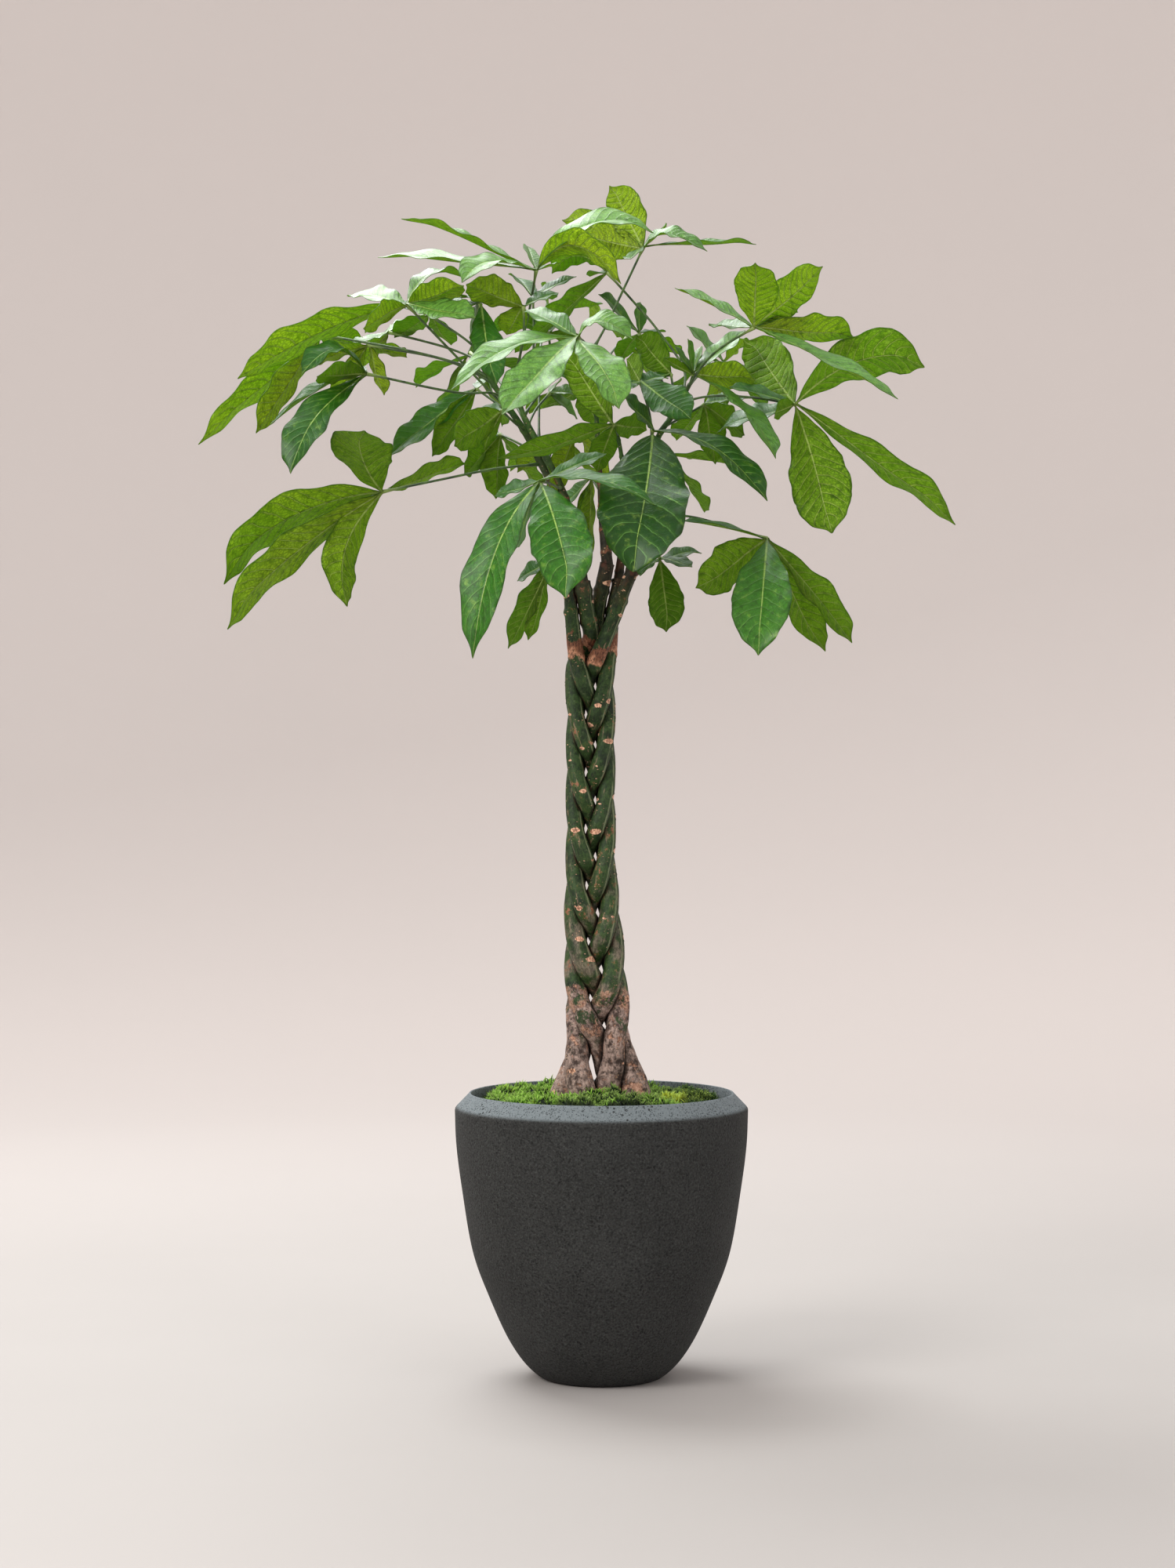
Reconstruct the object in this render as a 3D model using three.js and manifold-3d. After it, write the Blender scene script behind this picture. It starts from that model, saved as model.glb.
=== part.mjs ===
// A potted money tree: five stems braided into one trunk, hand-shaped leaves on long stalks,
// and a tapered round planter whose soil is covered with cushions of moss.
// Millimetres, +Z up. The origin is the middle of the planter's underside, and -Y is the front.

import * as THREE from 'three';
import { mergeVertices } from 'three/addons/utils/BufferGeometryUtils.js';
import Module from 'manifold-3d';

// Planter
const POT_DIAMETER = 406;
const POT_HEIGHT = 393;
const RIM_BEVEL = 21;
const POT_WALL = 21;
const POT_FLOOR = 20;
const FOOT_RADIUS = 80;
const POT_SIDES = 40;
const POT_RINGS = 11;
const WALL_STEPS = 4;
const OUTLINE_POINTS = 200;
// The outside of the planter above its foot, as [radius, height]
const POT_OUTLINE = [
  [FOOT_RADIUS, 0],
  [87, 3],
  [106, 20],
  [128, 52],
  [156, 113],
  [177, 170],
  [193, 260],
  [201, 323],
  [POT_DIAMETER / 2, POT_HEIGHT - RIM_BEVEL],
];

// Soil and moss
const SOIL_TOP = 362;
const MOSS_EDGE = 376;
const MOSS_SWELL = 14;
const MOSS_CUSHIONS = 8;
const MOSS_SEAM = 0.006;
const WALL_CLEARANCE = 1;
// How much higher one cushion may be than another, and how fast that changes from one to the next
const MOSS_UNEVENNESS = 6;
const MOSS_UNEVENNESS_RATE = 2.3;
// Height of the lumps, and how fast they follow each other round and outward
const MOSS_LUMPS = 3;
const LUMPS_ROUND = 17;
const LUMPS_SLANT = 5;
const LUMPS_OUTWARD = 9;
// How steeply a cushion rises from its seams, and how far it sinks at the wall
const MOSS_STEEPNESS = 6;
const MOSS_SINKING = 0.5;
const MOSS_SINKING_POWER = 6;
const MOSS_STEPS_ROUND = 5;
const MOSS_STEPS_OUTWARD = 4;
const TRUNK_FOOT_HALF_WIDTH = 88;
const TRUNK_FOOT_HALF_DEPTH = 60;

// Braid
const STRANDS = 5;
const BRAID_PERIOD = 392;
const BRAID_START = 739;
const BRAID_HALF_WIDTH = 23.7;
const BRAID_HALF_DEPTH = 18;
const BRAID_SQUARENESS = 0.03;
const BRAID_TOP = 985;
const STRAND_RADIUS = 11.5;
const STRAND_STEPS = 36;
const STRAND_SIDES = 7;
const SHOOT_STEPS = 9;
const SHOOT_SIDES = 5;
const SHOOT_MIDDLE = 0.45;
const PLAIT_FOOT = 470;
const PLAIT_STEPS = 23;
const NECK_LEAD = 20;
const FOOT_HEIGHT = 386;
const ROOT_END = 300;
const KNEE_SHARE = 0.45;
const BUTTRESS_TOP = 465;
const TAPER_TOP = 750;
const TAPER_BOTTOM = 500;
const LOW_BRAID_WIDENING = 0.28;
const LOW_BRAID_DEEPENING = 0.15;
const LEAN_BOTTOM = 340;
const TRUNK_LEAN = -15;

// Leaves
const PETIOLE_RADIUS = 2;
const STALK_SIDES = 4;
const HUB_RADIUS = 4.5;
const LEAF_THICKNESS = 1.8;
const BLADE_FOLD = 0.22;
const BLADE_ARCH = 0.09;
const BLADE_STATIONS = [0, 0.3, 0.6, 0.85];
const BLADE_ROOT_HALF_WIDTH = 1.5;
const BLADE_FULLNESS = 0.66;
const BLADE_WIDEST = 1.25;
// How far the light that leaves turn to leans outward, for each mm that a leaf is off the middle
const SKY_LEAN = 0.0006;
const SHOOT_POINTS = 120;

const GAP = 0.35;
const UP = new THREE.Vector3(0, 0, 1);
const TO_VIEWER = new THREE.Vector3(0, -1, 0);

// The photograph gives places as pixels: its camera stands level, this far in front of the planter
// and this high, and the planter's width in pixels sets the scale.
const VIEW_DISTANCE = 4200;
const VIEW_HEIGHT = 819.6;
const VIEW_SIDE = -19.3;
const PHOTO_CENTRE = [749.5, 1000];
const PHOTO_POT_WIDTH = 374;
const MM_PER_PIXEL = POT_DIAMETER / PHOTO_POT_WIDTH;

// A pixel [across, down] and its depth behind the planter's axis, as a point of the part
function place([across, down, depth = 0]) {
  const scale = (MM_PER_PIXEL * (VIEW_DISTANCE + depth)) / VIEW_DISTANCE;
  return new THREE.Vector3(
    VIEW_SIDE + (across - PHOTO_CENTRE[0]) * scale,
    depth,
    VIEW_HEIGHT + (PHOTO_CENTRE[1] - down) * scale,
  );
}

const wasm = await Module();
wasm.setup();

// 0 below the first height, 1 above the second, and smooth between
function smooth(from, to, value) {
  const t = THREE.MathUtils.clamp((value - from) / (to - from), 0, 1);
  return t * t * (3 - 2 * t);
}

// Closed skin over a row of rings with equal numbers of points. A ring of one point closes an end.
function loft(rings) {
  const points = rings.flat();
  const index = [];
  const starts = [];
  let count = 0;
  for (const ring of rings) {
    starts.push(count);
    count += ring.length;
  }
  for (let i = 0; i + 1 < rings.length; i++) {
    const size = Math.max(rings[i].length, rings[i + 1].length);
    for (let j = 0; j < size; j++) {
      const k = (j + 1) % size;
      const [a, b] = rings[i].length === 1 ? [starts[i], starts[i]] : [starts[i] + j, starts[i] + k];
      const next = starts[i + 1];
      const [c, d] = rings[i + 1].length === 1 ? [next, next] : [next + j, next + k];
      if (a !== b) index.push(a, b, d);
      if (c !== d) index.push(a, d, c);
    }
  }
  for (const [ring, flip] of [[0, true], [rings.length - 1, false]]) {
    for (let j = 1; j + 1 < rings[ring].length; j++) {
      const [a, b, c] = [starts[ring], starts[ring] + j, starts[ring] + j + 1];
      index.push(...(flip ? [a, c, b] : [a, b, c]));
    }
  }
  const geometry = new THREE.BufferGeometry().setFromPoints(points);
  geometry.setIndex(index);
  if (signedVolume(geometry) < 0) {
    geometry.setIndex(index.reverse());
  }
  return geometry;
}

function signedVolume(geometry) {
  const { position } = geometry.attributes;
  const corner = (i) => new THREE.Vector3().fromBufferAttribute(position, geometry.index.getX(i));
  let volume = 0;
  for (let i = 0; i < geometry.index.count; i += 3) {
    volume += corner(i).dot(corner(i + 1).cross(corner(i + 2)));
  }
  return volume / 6;
}

// Round section of changing radius along a curve, with domed ends
function taperedTube(curve, radiusAt, steps, sides) {
  const frames = curve.computeFrenetFrames(steps);
  const rings = [];
  for (let i = 0; i <= steps; i++) {
    const t = i / steps;
    const centre = curve.getPointAt(t);
    const ring = [];
    for (let j = 0; j < sides; j++) {
      const angle = (2 * Math.PI * j) / sides;
      ring.push(centre.clone()
        .addScaledVector(frames.normals[i], radiusAt(t) * Math.cos(angle))
        .addScaledVector(frames.binormals[i], radiusAt(t) * Math.sin(angle)));
    }
    rings.push(ring);
  }
  const first = curve.getPointAt(0).addScaledVector(curve.getTangentAt(0), -radiusAt(0) / 2);
  const last = curve.getPointAt(1).addScaledVector(curve.getTangentAt(1), radiusAt(1) / 2);
  return loft([[first], ...rings, [last]]);
}

function solidOf(geometry) {
  const bare = geometry.clone();
  bare.deleteAttribute('normal');
  bare.deleteAttribute('uv');
  const merged = mergeVertices(bare);
  return new wasm.Manifold(new wasm.Mesh({
    numProp: 3,
    vertProperties: new Float32Array(merged.attributes.position.array),
    triVerts: new Uint32Array(merged.index.array),
  }));
}

function geometryOf(solid) {
  const mesh = solid.getMesh();
  const geometry = new THREE.BufferGeometry();
  geometry.setAttribute('position', new THREE.BufferAttribute(new Float32Array(mesh.vertProperties), 3));
  geometry.setIndex(new THREE.BufferAttribute(new Uint32Array(mesh.triVerts), 1));
  geometry.computeVertexNormals();
  return geometry;
}

// Materials, with the colours of the photograph
const STONE = new THREE.MeshStandardMaterial({ color: '#3c3d3d', roughness: 0.85, metalness: 0 });
const SOIL = new THREE.MeshStandardMaterial({ color: '#2e231a', roughness: 0.95, metalness: 0 });
const MOSS = new THREE.MeshStandardMaterial({ color: '#55782a', roughness: 0.95, metalness: 0 });
const BARK = new THREE.MeshStandardMaterial({ color: '#475238', roughness: 0.8, metalness: 0 });
const LEAF = new THREE.MeshStandardMaterial({ color: '#3f7f26', roughness: 0.45, metalness: 0 });

const tree = new THREE.Group();

function add(name, geometry, material) {
  const mesh = new THREE.Mesh(geometry, material);
  mesh.name = name;
  tree.add(mesh);
}

// Planter: a lathed bowl with a rounded foot, a bevelled rim and a flat floor inside
const outline = new THREE.SplineCurve(
  POT_OUTLINE.map(([radius, height]) => new THREE.Vector2(radius, height)),
);

function potRadius(height) {
  const points = outline.getPoints(OUTLINE_POINTS);
  const above = points.find((point) => point.y >= height) ?? points.at(-1);
  return above.x;
}

function wallHeights(from, to, steps) {
  return Array.from({ length: steps + 1 }, (_, i) => from + ((to - from) * i) / steps);
}

function planter() {
  const outside = outline.getSpacedPoints(POT_RINGS);
  const inside = wallHeights(POT_HEIGHT - RIM_BEVEL, POT_FLOOR, WALL_STEPS)
    .map((height) => new THREE.Vector2(potRadius(height) - POT_WALL, height));
  const rimEdge = new THREE.Vector2(POT_DIAMETER / 2 - RIM_BEVEL, POT_HEIGHT);
  const profile = [
    new THREE.Vector2(0, 0), ...outside, rimEdge, ...inside, new THREE.Vector2(0, POT_FLOOR),
  ];
  return lathe(profile);
}

// A lathe turns about Y, so it is stood up to turn about Z
function lathe(profile) {
  const geometry = new THREE.LatheGeometry(profile, POT_SIDES);
  geometry.rotateX(Math.PI / 2);
  return solidOf(geometry);
}

// Potting soil: fills the planter to just under the moss, with the stems rooted in it
function soil(stems) {
  const wall = wallHeights(POT_FLOOR + GAP, SOIL_TOP, WALL_STEPS)
    .map((height) => new THREE.Vector2(potRadius(height) - POT_WALL - GAP - WALL_CLEARANCE, height));
  const profile = [new THREE.Vector2(0, POT_FLOOR + GAP), ...wall, new THREE.Vector2(0, SOIL_TOP)];
  return stems.reduce((body, stem) => body.subtract(stem.grown), lathe(profile));
}

// Moss: a ring of cushions from the trunk's foot to the planter's wall, each with a lumpy top
function mossCushion(number) {
  const turn = (2 * Math.PI) / MOSS_CUSHIONS;
  const height = MOSS_SWELL + MOSS_UNEVENNESS * Math.abs(Math.sin(number * MOSS_UNEVENNESS_RATE));
  const wallRadius = potRadius(SOIL_TOP) - POT_WALL - WALL_CLEARANCE;
  const point = (i, j, top) => {
    const u = i / MOSS_STEPS_ROUND;
    const v = j / MOSS_STEPS_OUTWARD;
    const angle = turn * (number + THREE.MathUtils.lerp(MOSS_SEAM, 1 - MOSS_SEAM, u));
    const [cos, sin] = [Math.cos(angle), Math.sin(angle)];
    const foot = 1 / Math.hypot(cos / TRUNK_FOOT_HALF_WIDTH, sin / TRUNK_FOOT_HALF_DEPTH);
    const radius = foot + (wallRadius - foot) * v;
    const pillow = Math.min(1, MOSS_STEEPNESS * u * (1 - u));
    const sinking = 1 - MOSS_SINKING * v ** MOSS_SINKING_POWER;
    const lumpsRound = Math.sin(angle * LUMPS_ROUND + v * LUMPS_SLANT);
    const lumps = MOSS_LUMPS * lumpsRound * Math.sin(v * LUMPS_OUTWARD + number);
    const rise = MOSS_EDGE + pillow * sinking * (height + lumps);
    return new THREE.Vector3(radius * cos, radius * sin, top ? rise : SOIL_TOP + GAP);
  };
  const rings = [];
  for (let i = 0; i <= MOSS_STEPS_ROUND; i++) {
    const ring = [];
    for (let j = 0; j <= MOSS_STEPS_OUTWARD; j++) ring.push(point(i, j, true));
    for (let j = MOSS_STEPS_OUTWARD; j >= 0; j--) ring.push(point(i, j, false));
    rings.push(ring);
  }
  return loft(rings);
}

// Stems. Below BRAID_TOP each one is a strand of a flat five-strand plait, one fifth of a turn
// behind the last. Below the plait it is a leg that stands at `foot`, [across, behind the middle,
// how much wider it is there], and that bows sideways by `bow` on its way down. Above it the strand leaves the plait through `neck` to a
// pruned top, and a green shoot grows on through `shoot`, with the radii `girth` at its foot, at
// SHOOT_MIDDLE of its length and at its tip.
const STEMS = [
  {
    name: 'stem_left_front',
    neck: [[731, 800, -8], [727.6, 761, -4], [727, 740, -2]],
    neckRadius: 8.5,
    foot: [47.5, 2, 8],
    girth: [8, 6, 3],
    shoot: [[727, 744, -2], [722, 700, 4], [715, 640, 8], [690, 590, 10], [672, 555, 10],
      [649, 520, 10], [621, 477, 10], [608, 455, 10]],
  },
  {
    name: 'stem_left_back',
    neck: [[745, 828, 14], [754, 812, 4], [749, 782, -6], [743, 742, -9]],
    neckRadius: 11,
    foot: [20, 26, 4],
    girth: [9, 6, 3],
    shoot: [[743, 746, -9], [735, 690, -14], [722, 640, -18], [701, 592, -20], [685, 563, -20],
      [669, 532, -18], [658, 500, -14]],
  },
  {
    name: 'stem_right_front',
    neck: [[769, 822, -16], [788, 776, -14], [797, 751, -12], [808, 726, -12]],
    neckRadius: 9,
    foot: [-25, -26, 5],
    bow: -4,
    girth: [8, 5, 3],
    shoot: [[807, 731, -12], [803, 690, -12], [811, 640, -12], [842, 553, -12], [858, 530, -12],
      [880, 490, -12]],
  },
  {
    name: 'stem_right_back',
    neck: [[778, 825, 10], [780, 795, 14], [783, 768, 17], [789, 740, 19]],
    neckRadius: 8,
    foot: [-52.5, 12, 5.5],
    girth: [7, 4, 2.5],
    shoot: [[788, 745, 19], [795, 690, 24], [798, 640, 26], [790, 565, 26], [784, 546, 22]],
  },
  {
    name: 'stem_middle_back',
    neck: [[761, 812, 16], [762, 782, 15], [770, 741, 11], [775, 719, 8]],
    neckRadius: 10,
    foot: [3.5, -6, 4],
    bow: 4,
    girth: [8.5, 3.6, 2.8],
    shoot: [[775, 723, 8], [769, 660, 10], [765, 601, 10], [762, 549, 10], [760, 514, 10],
      [757, 440, 10]],
  },
];

// 0 high up, and 1 low down where the trunk is thicker
function lowness(height) {
  return smooth(TAPER_TOP, TAPER_BOTTOM, height);
}

// Middle of a strand at a height inside the braid
function braidPoint(strand, height) {
  const turn = 2 * Math.PI * ((height - BRAID_START) / BRAID_PERIOD + strand / STRANDS);
  const side = Math.atan2(2 * Math.sin(turn), Math.cos(turn));
  const swing = (Math.sin(turn) + BRAID_SQUARENESS * Math.sin(3 * turn)) / (1 - BRAID_SQUARENESS);
  const halfWidth = (1 + LOW_BRAID_WIDENING * lowness(height)) * BRAID_HALF_WIDTH;
  const halfDepth = (1 + LOW_BRAID_DEEPENING * lowness(height)) * BRAID_HALF_DEPTH;
  const lean = TRUNK_LEAN * smooth(LEAN_BOTTOM, TAPER_TOP, height);
  return new THREE.Vector3(lean + halfWidth * swing, -halfDepth * Math.sin(2 * side), height);
}

function braidRadius(height, flare) {
  return STRAND_RADIUS * (1 + LOW_BRAID_WIDENING * lowness(height))
    + flare * smooth(BUTTRESS_TOP, FOOT_HEIGHT, height);
}

// Middle line of a strand, from its root through its foot and the plait to its pruned top
function strandPath({ foot, bow = 0, neck }, number) {
  const standing = new THREE.Vector3(foot[0], foot[1], FOOT_HEIGHT);
  const top = braidPoint(number, PLAIT_FOOT);
  const root = top.clone().lerp(standing, (PLAIT_FOOT - ROOT_END) / (PLAIT_FOOT - FOOT_HEIGHT));
  const knee = top.clone().lerp(standing, KNEE_SHARE);
  knee.x += bow;
  const plait = wallHeights(PLAIT_FOOT, BRAID_TOP, PLAIT_STEPS)
    .map((height) => braidPoint(number, height));
  return new THREE.CatmullRomCurve3([root, standing, knee, ...plait, ...neck.map(place)]);
}

// One stem: strand, neck and shoot in one solid, `extra` mm fatter all round
function stemSolid(stem, number, extra) {
  const { foot, neck, neckRadius, girth } = stem;
  const trunk = strandPath(stem, number);
  const trunkRadius = (t) => {
    const { z } = trunk.getPointAt(t);
    const leaving = smooth(BRAID_TOP - NECK_LEAD, place(neck.at(-1)).z, z);
    return THREE.MathUtils.lerp(braidRadius(z, foot[2]), neckRadius, leaving) + extra;
  };
  const shoot = new THREE.CatmullRomCurve3(stem.shoot.map(place));
  const shootRadius = (t) => {
    const lower = THREE.MathUtils.lerp(girth[0], girth[1], t / SHOOT_MIDDLE);
    const upper = THREE.MathUtils.lerp(girth[1], girth[2], (t - SHOOT_MIDDLE) / (1 - SHOOT_MIDDLE));
    return (t < SHOOT_MIDDLE ? lower : upper) + extra;
  };
  return solidOf(taperedTube(trunk, trunkRadius, STRAND_STEPS, STRAND_SIDES))
    .add(solidOf(taperedTube(shoot, shootRadius, SHOOT_STEPS, SHOOT_SIDES)));
}

// The strands press flat against each other, so each is cut back to the ones before it
function growStems() {
  const grown = STEMS.map((stem, number) => stemSolid(stem, number, GAP));
  return STEMS.map((stem, number) => {
    const earlier = grown.slice(0, number);
    const body = earlier.reduce((rest, other) => rest.subtract(other), stemSolid(stem, number, 0));
    const parts = body.decompose().sort((a, b) => b.volume() - a.volume());
    return { name: stem.name, body: parts[0], grown: grown[number], shoot: stem.shoot };
  });
}

// Leaves. Each hangs on a stalk that leaves the shoot of stem `on` at pixel height `at`, passes
// `bends` and ends at `hub`. Its leaflets are [tip across, tip down, tip depth, width in mm,
// roll in degrees, and where the midrib passes halfway]. Roll 0 turns the upper side to the
// viewer, 90 turns it up, and 180 shows the underside.
const LEAVES = [
  {
    on: 0, at: 522, hub: [519, 389, -30], bends: [[637, 511, 5], [565, 437, -12]],
    leaflets: [[305, 481, -70, 72, 115, 403, 425], [447, 372, 60, 48, 50], [590, 350, 70, 44, 62, 548, 352],
      [590, 362, -120, 50, 120], [604, 405, -130, 52, 45], [463, 415, -110, 46, 120]],
  },
  {
    on: 0, at: 466, hub: [496, 424, 100], bends: [[600, 455, 60], [565, 442, 85]],
    leaflets: [[455, 470, 150, 40, 120], [478, 437, 190, 36, 60], [450, 440, 60, 30, 60],
      [540, 400, 180, 40, 60]],
  },
  {
    on: 0, at: 480, hub: [409, 427, 40], bends: [[591, 466, 20], [538, 451, 30], [461, 436, 36]],
    leaflets: [[458, 440, 130, 45, 130], [355, 495, 110, 48, 130], [252, 560, 20, 60, 115, 350, 481],
      [327, 549, -20, 56, 118]],
  },
  {
    on: 0, at: 506, hub: [468, 477, -60], bends: [[626, 501, -24], [587, 501, -44]],
    leaflets: [[386, 476, -100, 52, 70, 425, 447], [404, 478, -150, 45, 118],
      [346, 539, -60, 54, 70, 420, 488], [376, 598, -150, 66, 38, 406, 532], [430, 470, 20, 36, 60]],
  },
  {
    on: 0, at: 592, hub: [489, 627, -40], bends: [[632, 598, -20], [561, 612, -34]],
    leaflets: [[282, 735, -90, 76, 128, 372, 657], [288, 789, -160, 70, 125, 370, 708],
      [439, 769, -110, 60, 140, 440, 698], [459, 543, -170, 84, 160, 462, 586], [593, 590, 60, 50, 110]],
  },
  {
    on: 1, at: 625, hub: [689, 615, -210], bends: [[712, 622, -90], [700, 616, -160]],
    leaflets: [[604, 833, -270, 68, 35, 634, 702], [730, 756, -320, 80, 5, 712, 680],
      [658, 697, -120, 40, 60], [631, 633, -180, 44, 65], [775, 577, -190, 36, 60],
      [836, 641, -290, 48, 65, 752, 610]],
  },
  {
    on: 3, at: 552, hub: [783, 542, -90], bends: [[786, 545, -40]],
    leaflets: [[718, 441, -50, 52, 160], [634, 583, -140, 50, 115, 720, 563],
      [827, 545, -20, 40, 140], [760, 600, -60, 40, 150]],
  },
  {
    on: 4, at: 470, hub: [737, 430, -230], bends: [[755, 450, -90], [745, 436, -170]],
    leaflets: [[639, 524, -330, 66, 30], [795, 514, -340, 60, 30], [808, 430, -250, 50, 62, 765, 411],
      [668, 392, -180, 50, 55], [575, 491, -260, 60, 62, 655, 445]],
  },
  {
    on: 0, at: 458, hub: [613, 388, -60], bends: [[607, 430, -20]],
    leaflets: [[629, 487, -150, 46, 20], [575, 395, 0, 36, 60], [600, 430, 60, 34, 60]],
  },
  {
    on: 1, at: 502, hub: [668, 391, -80], bends: [[660, 470, -34], [668, 430, -66]],
    leaflets: [[594, 361, -130, 54, 130], [590, 375, -20, 48, 60], [645, 425, -40, 42, 140],
      [712, 372, -60, 36, 60]],
  },
  {
    on: 1, at: 512, hub: [684, 345, -40], bends: [[664, 450, -8], [676, 392, -10]],
    leaflets: [[834, 290, -20, 60, 60, 752, 288], [793, 356, -90, 56, 118, 735, 312],
      [590, 357, -120, 52, 60, 630, 335], [511, 273, -10, 60, 80, 600, 308],
      [672, 311, 40, 26, 50], [705, 338, 20, 30, 60],
      [482, 323, 30, 54, 72, 585, 334]],
  },
  {
    on: 1, at: 520, hub: [680, 378, 80], bends: [[680, 450, 40]],
    leaflets: [[737, 351, 110, 30, 60], [703, 380, 150, 36, 60], [655, 350, 150, 40, 60]],
  },
  {
    on: 2, at: 507, hub: [775, 348, 75], bends: [[872, 470, 30], [835, 416, 50], [810, 387, 65]],
    leaflets: [[672, 433, 20, 56, 112, 720, 395], [755, 350, 150, 30, 60],
      [704, 347, 110, 46, 118, 738, 325]],
  },
  {
    on: 4, at: 444, hub: [820, 317, 60], bends: [[776, 410, 35], [795, 370, 50]],
    leaflets: [[748, 300, 150, 52, 150], [780, 231, 110, 56, 150], [851, 287, 120, 30, 80],
      [902, 318, 40, 48, 65, 852, 300], [967, 309, 130, 46, 80, 898, 310], [802, 330, -20, 30, 60],
      [717, 268, 200, 40, 140]],
  },
  {
    on: 2, at: 498, hub: [962, 418, -150], bends: [[890, 475, -60], [915, 447, -110]],
    leaflets: [[966, 332, -240, 60, 165], [1052, 339, -130, 60, 140], [861, 364, -120, 44, 65],
      [1018, 395, -60, 30, 84], [1093, 424, -60, 58, 120], [1143, 505, -210, 52, 62, 1056, 461],
      [907, 415, -90, 46, 60]],
  },
  {
    on: 2, at: 517, hub: [1014, 516, -60], bends: [[900, 506, -25], [960, 507, -45]],
    leaflets: [[953, 424, 60, 70, 160], [1181, 458, -100, 78, 140, 1098, 458],
      [1057, 676, -140, 84, 165, 1042, 598], [1219, 661, -100, 62, 118, 1130, 594], [915, 548, 0, 54, 60],
      [930, 492, -90, 40, 60], [988, 526, -120, 30, 130]],
  },
  {
    on: 2, at: 492, hub: [884, 478, -24], bends: [],
    leaflets: [[950, 420, 10, 46, 60], [963, 480, -70, 46, 140], [990, 580, -160, 54, 65, 945, 520],
      [860, 440, -40, 22, 60], [845, 455, -60, 20, 120], [878, 430, -50, 18, 60],
      [895, 440, 0, 20, 60]],
  },
  {
    on: 2, at: 527, hub: [856, 478, 40], bends: [[860, 505, 15]],
    leaflets: [[812, 424, 70, 50, 150], [802, 486, 10, 34, 65], [780, 500, 120, 36, 60]],
  },
  {
    on: 2, at: 537, hub: [815, 425, 115], bends: [[850, 500, 60]],
    leaflets: [[763, 372, 70, 34, 60], [816, 384, 130, 28, 50], [790, 457, 170, 34, 130],
      [848, 422, 150, 24, 70]],
  },
  {
    on: 2, at: 578, hub: [817, 488, -90], bends: [[829, 530, -60]],
    leaflets: [[882, 533, -150, 56, 25], [775, 492, -130, 40, 60], [800, 455, -40, 40, 130],
      [850, 480, -60, 34, 60]],
  },
  {
    on: 2, at: 610, hub: [833, 549, -110], bends: [[828, 580, -60]],
    leaflets: [[804, 720, -250, 118, 5, 822, 640], [974, 634, -170, 62, 62, 915, 575],
      [797, 505, -150, 44, 60]],
  },
  {
    on: 2, at: 665, hub: [979, 687, -60], bends: [[873, 658, -40], [930, 672, -55]],
    leaflets: [[965, 830, -190, 80, 12], [890, 752, -120, 66, 150], [1086, 816, -60, 62, 118, 1036, 752],
      [1048, 828, 0, 60, 140], [873, 661, -120, 36, 78]],
  },
  {
    on: 2, at: 690, hub: [842, 712, -40], bends: [[828, 698, -25]],
    leaflets: [[854, 803, -70, 50, 170], [895, 703, -10, 34, 65], [882, 722, -80, 30, 60],
      [815, 733, -60, 34, 65]],
  },
  {
    on: 1, at: 668, hub: [703, 715, -90], bends: [[715, 680, -50]],
    leaflets: [[650, 826, -130, 50, 120], [675, 814, -80, 50, 120], [660, 740, -60, 40, 60]],
  },
  {
    on: 4, at: 630, hub: [755, 610, 60], bends: [],
    leaflets: [[745, 695, 100, 46, 125], [748, 728, 50, 46, 120], [700, 660, 120, 40, 60]],
  },
  {
    on: 0, at: 550, hub: [640, 524, -60], bends: [[655, 538, -25]],
    leaflets: [[580, 565, -120, 54, 140], [607, 522, -20, 30, 60], [616, 571, -50, 30, 130]],
  },
  {
    on: 0, at: 532, hub: [608, 496, 50], bends: [[637, 517, 25]],
    leaflets: [[497, 577, 40, 56, 45], [552, 580, 0, 50, 130], [630, 480, 110, 36, 60]],
  },
  {
    on: 1, at: 545, hub: [701, 502, 60], bends: [[684, 522, 20]],
    leaflets: [[751, 502, 80, 40, 60], [737, 532, 110, 30, 60], [675, 527, 120, 28, 120],
      [714, 485, 120, 20, 60]],
  },
  {
    on: 0, at: 575, hub: [600, 450, 230], bends: [[665, 530, 60], [640, 490, 140]],
    leaflets: [[530, 490, 300, 60, 95], [560, 540, 380, 62, 95], [640, 540, 400, 62, 95],
      [690, 480, 330, 58, 95], [620, 420, 370, 50, 95]],
  },
  {
    on: 1, at: 570, hub: [700, 400, 260], bends: [[688, 500, 70], [690, 440, 170]],
    leaflets: [[630, 420, 340, 58, 95], [680, 480, 420, 62, 95], [760, 470, 400, 62, 95],
      [770, 385, 220, 56, 95], [700, 370, 380, 50, 95]],
  },
  {
    on: 4, at: 505, hub: [800, 430, 300], bends: [[768, 480, 90], [780, 450, 200]],
    leaflets: [[750, 400, 440, 60, 95], [780, 520, 460, 64, 95], [850, 520, 440, 64, 95],
      [870, 450, 340, 60, 95]],
  },
  {
    on: 2, at: 552, hub: [900, 450, 230], bends: [[860, 520, 60], [885, 480, 140]],
    leaflets: [[850, 520, 330, 60, 95], [920, 540, 380, 64, 95], [980, 520, 320, 62, 95],
      [960, 440, 250, 56, 95]],
  },
  {
    on: 1, at: 600, hub: [720, 560, 260], bends: [[716, 580, 80], [720, 565, 170]],
    leaflets: [[650, 600, 330, 60, 95], [700, 660, 400, 64, 95], [780, 640, 380, 62, 95],
      [790, 570, 300, 56, 95]],
  },
  {
    on: 3, at: 640, hub: [850, 580, 250], bends: [[815, 610, 80], [835, 590, 170]],
    leaflets: [[790, 640, 330, 60, 95], [840, 690, 390, 64, 95], [900, 650, 370, 62, 95],
      [930, 590, 280, 56, 95]],
  },
  {
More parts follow.
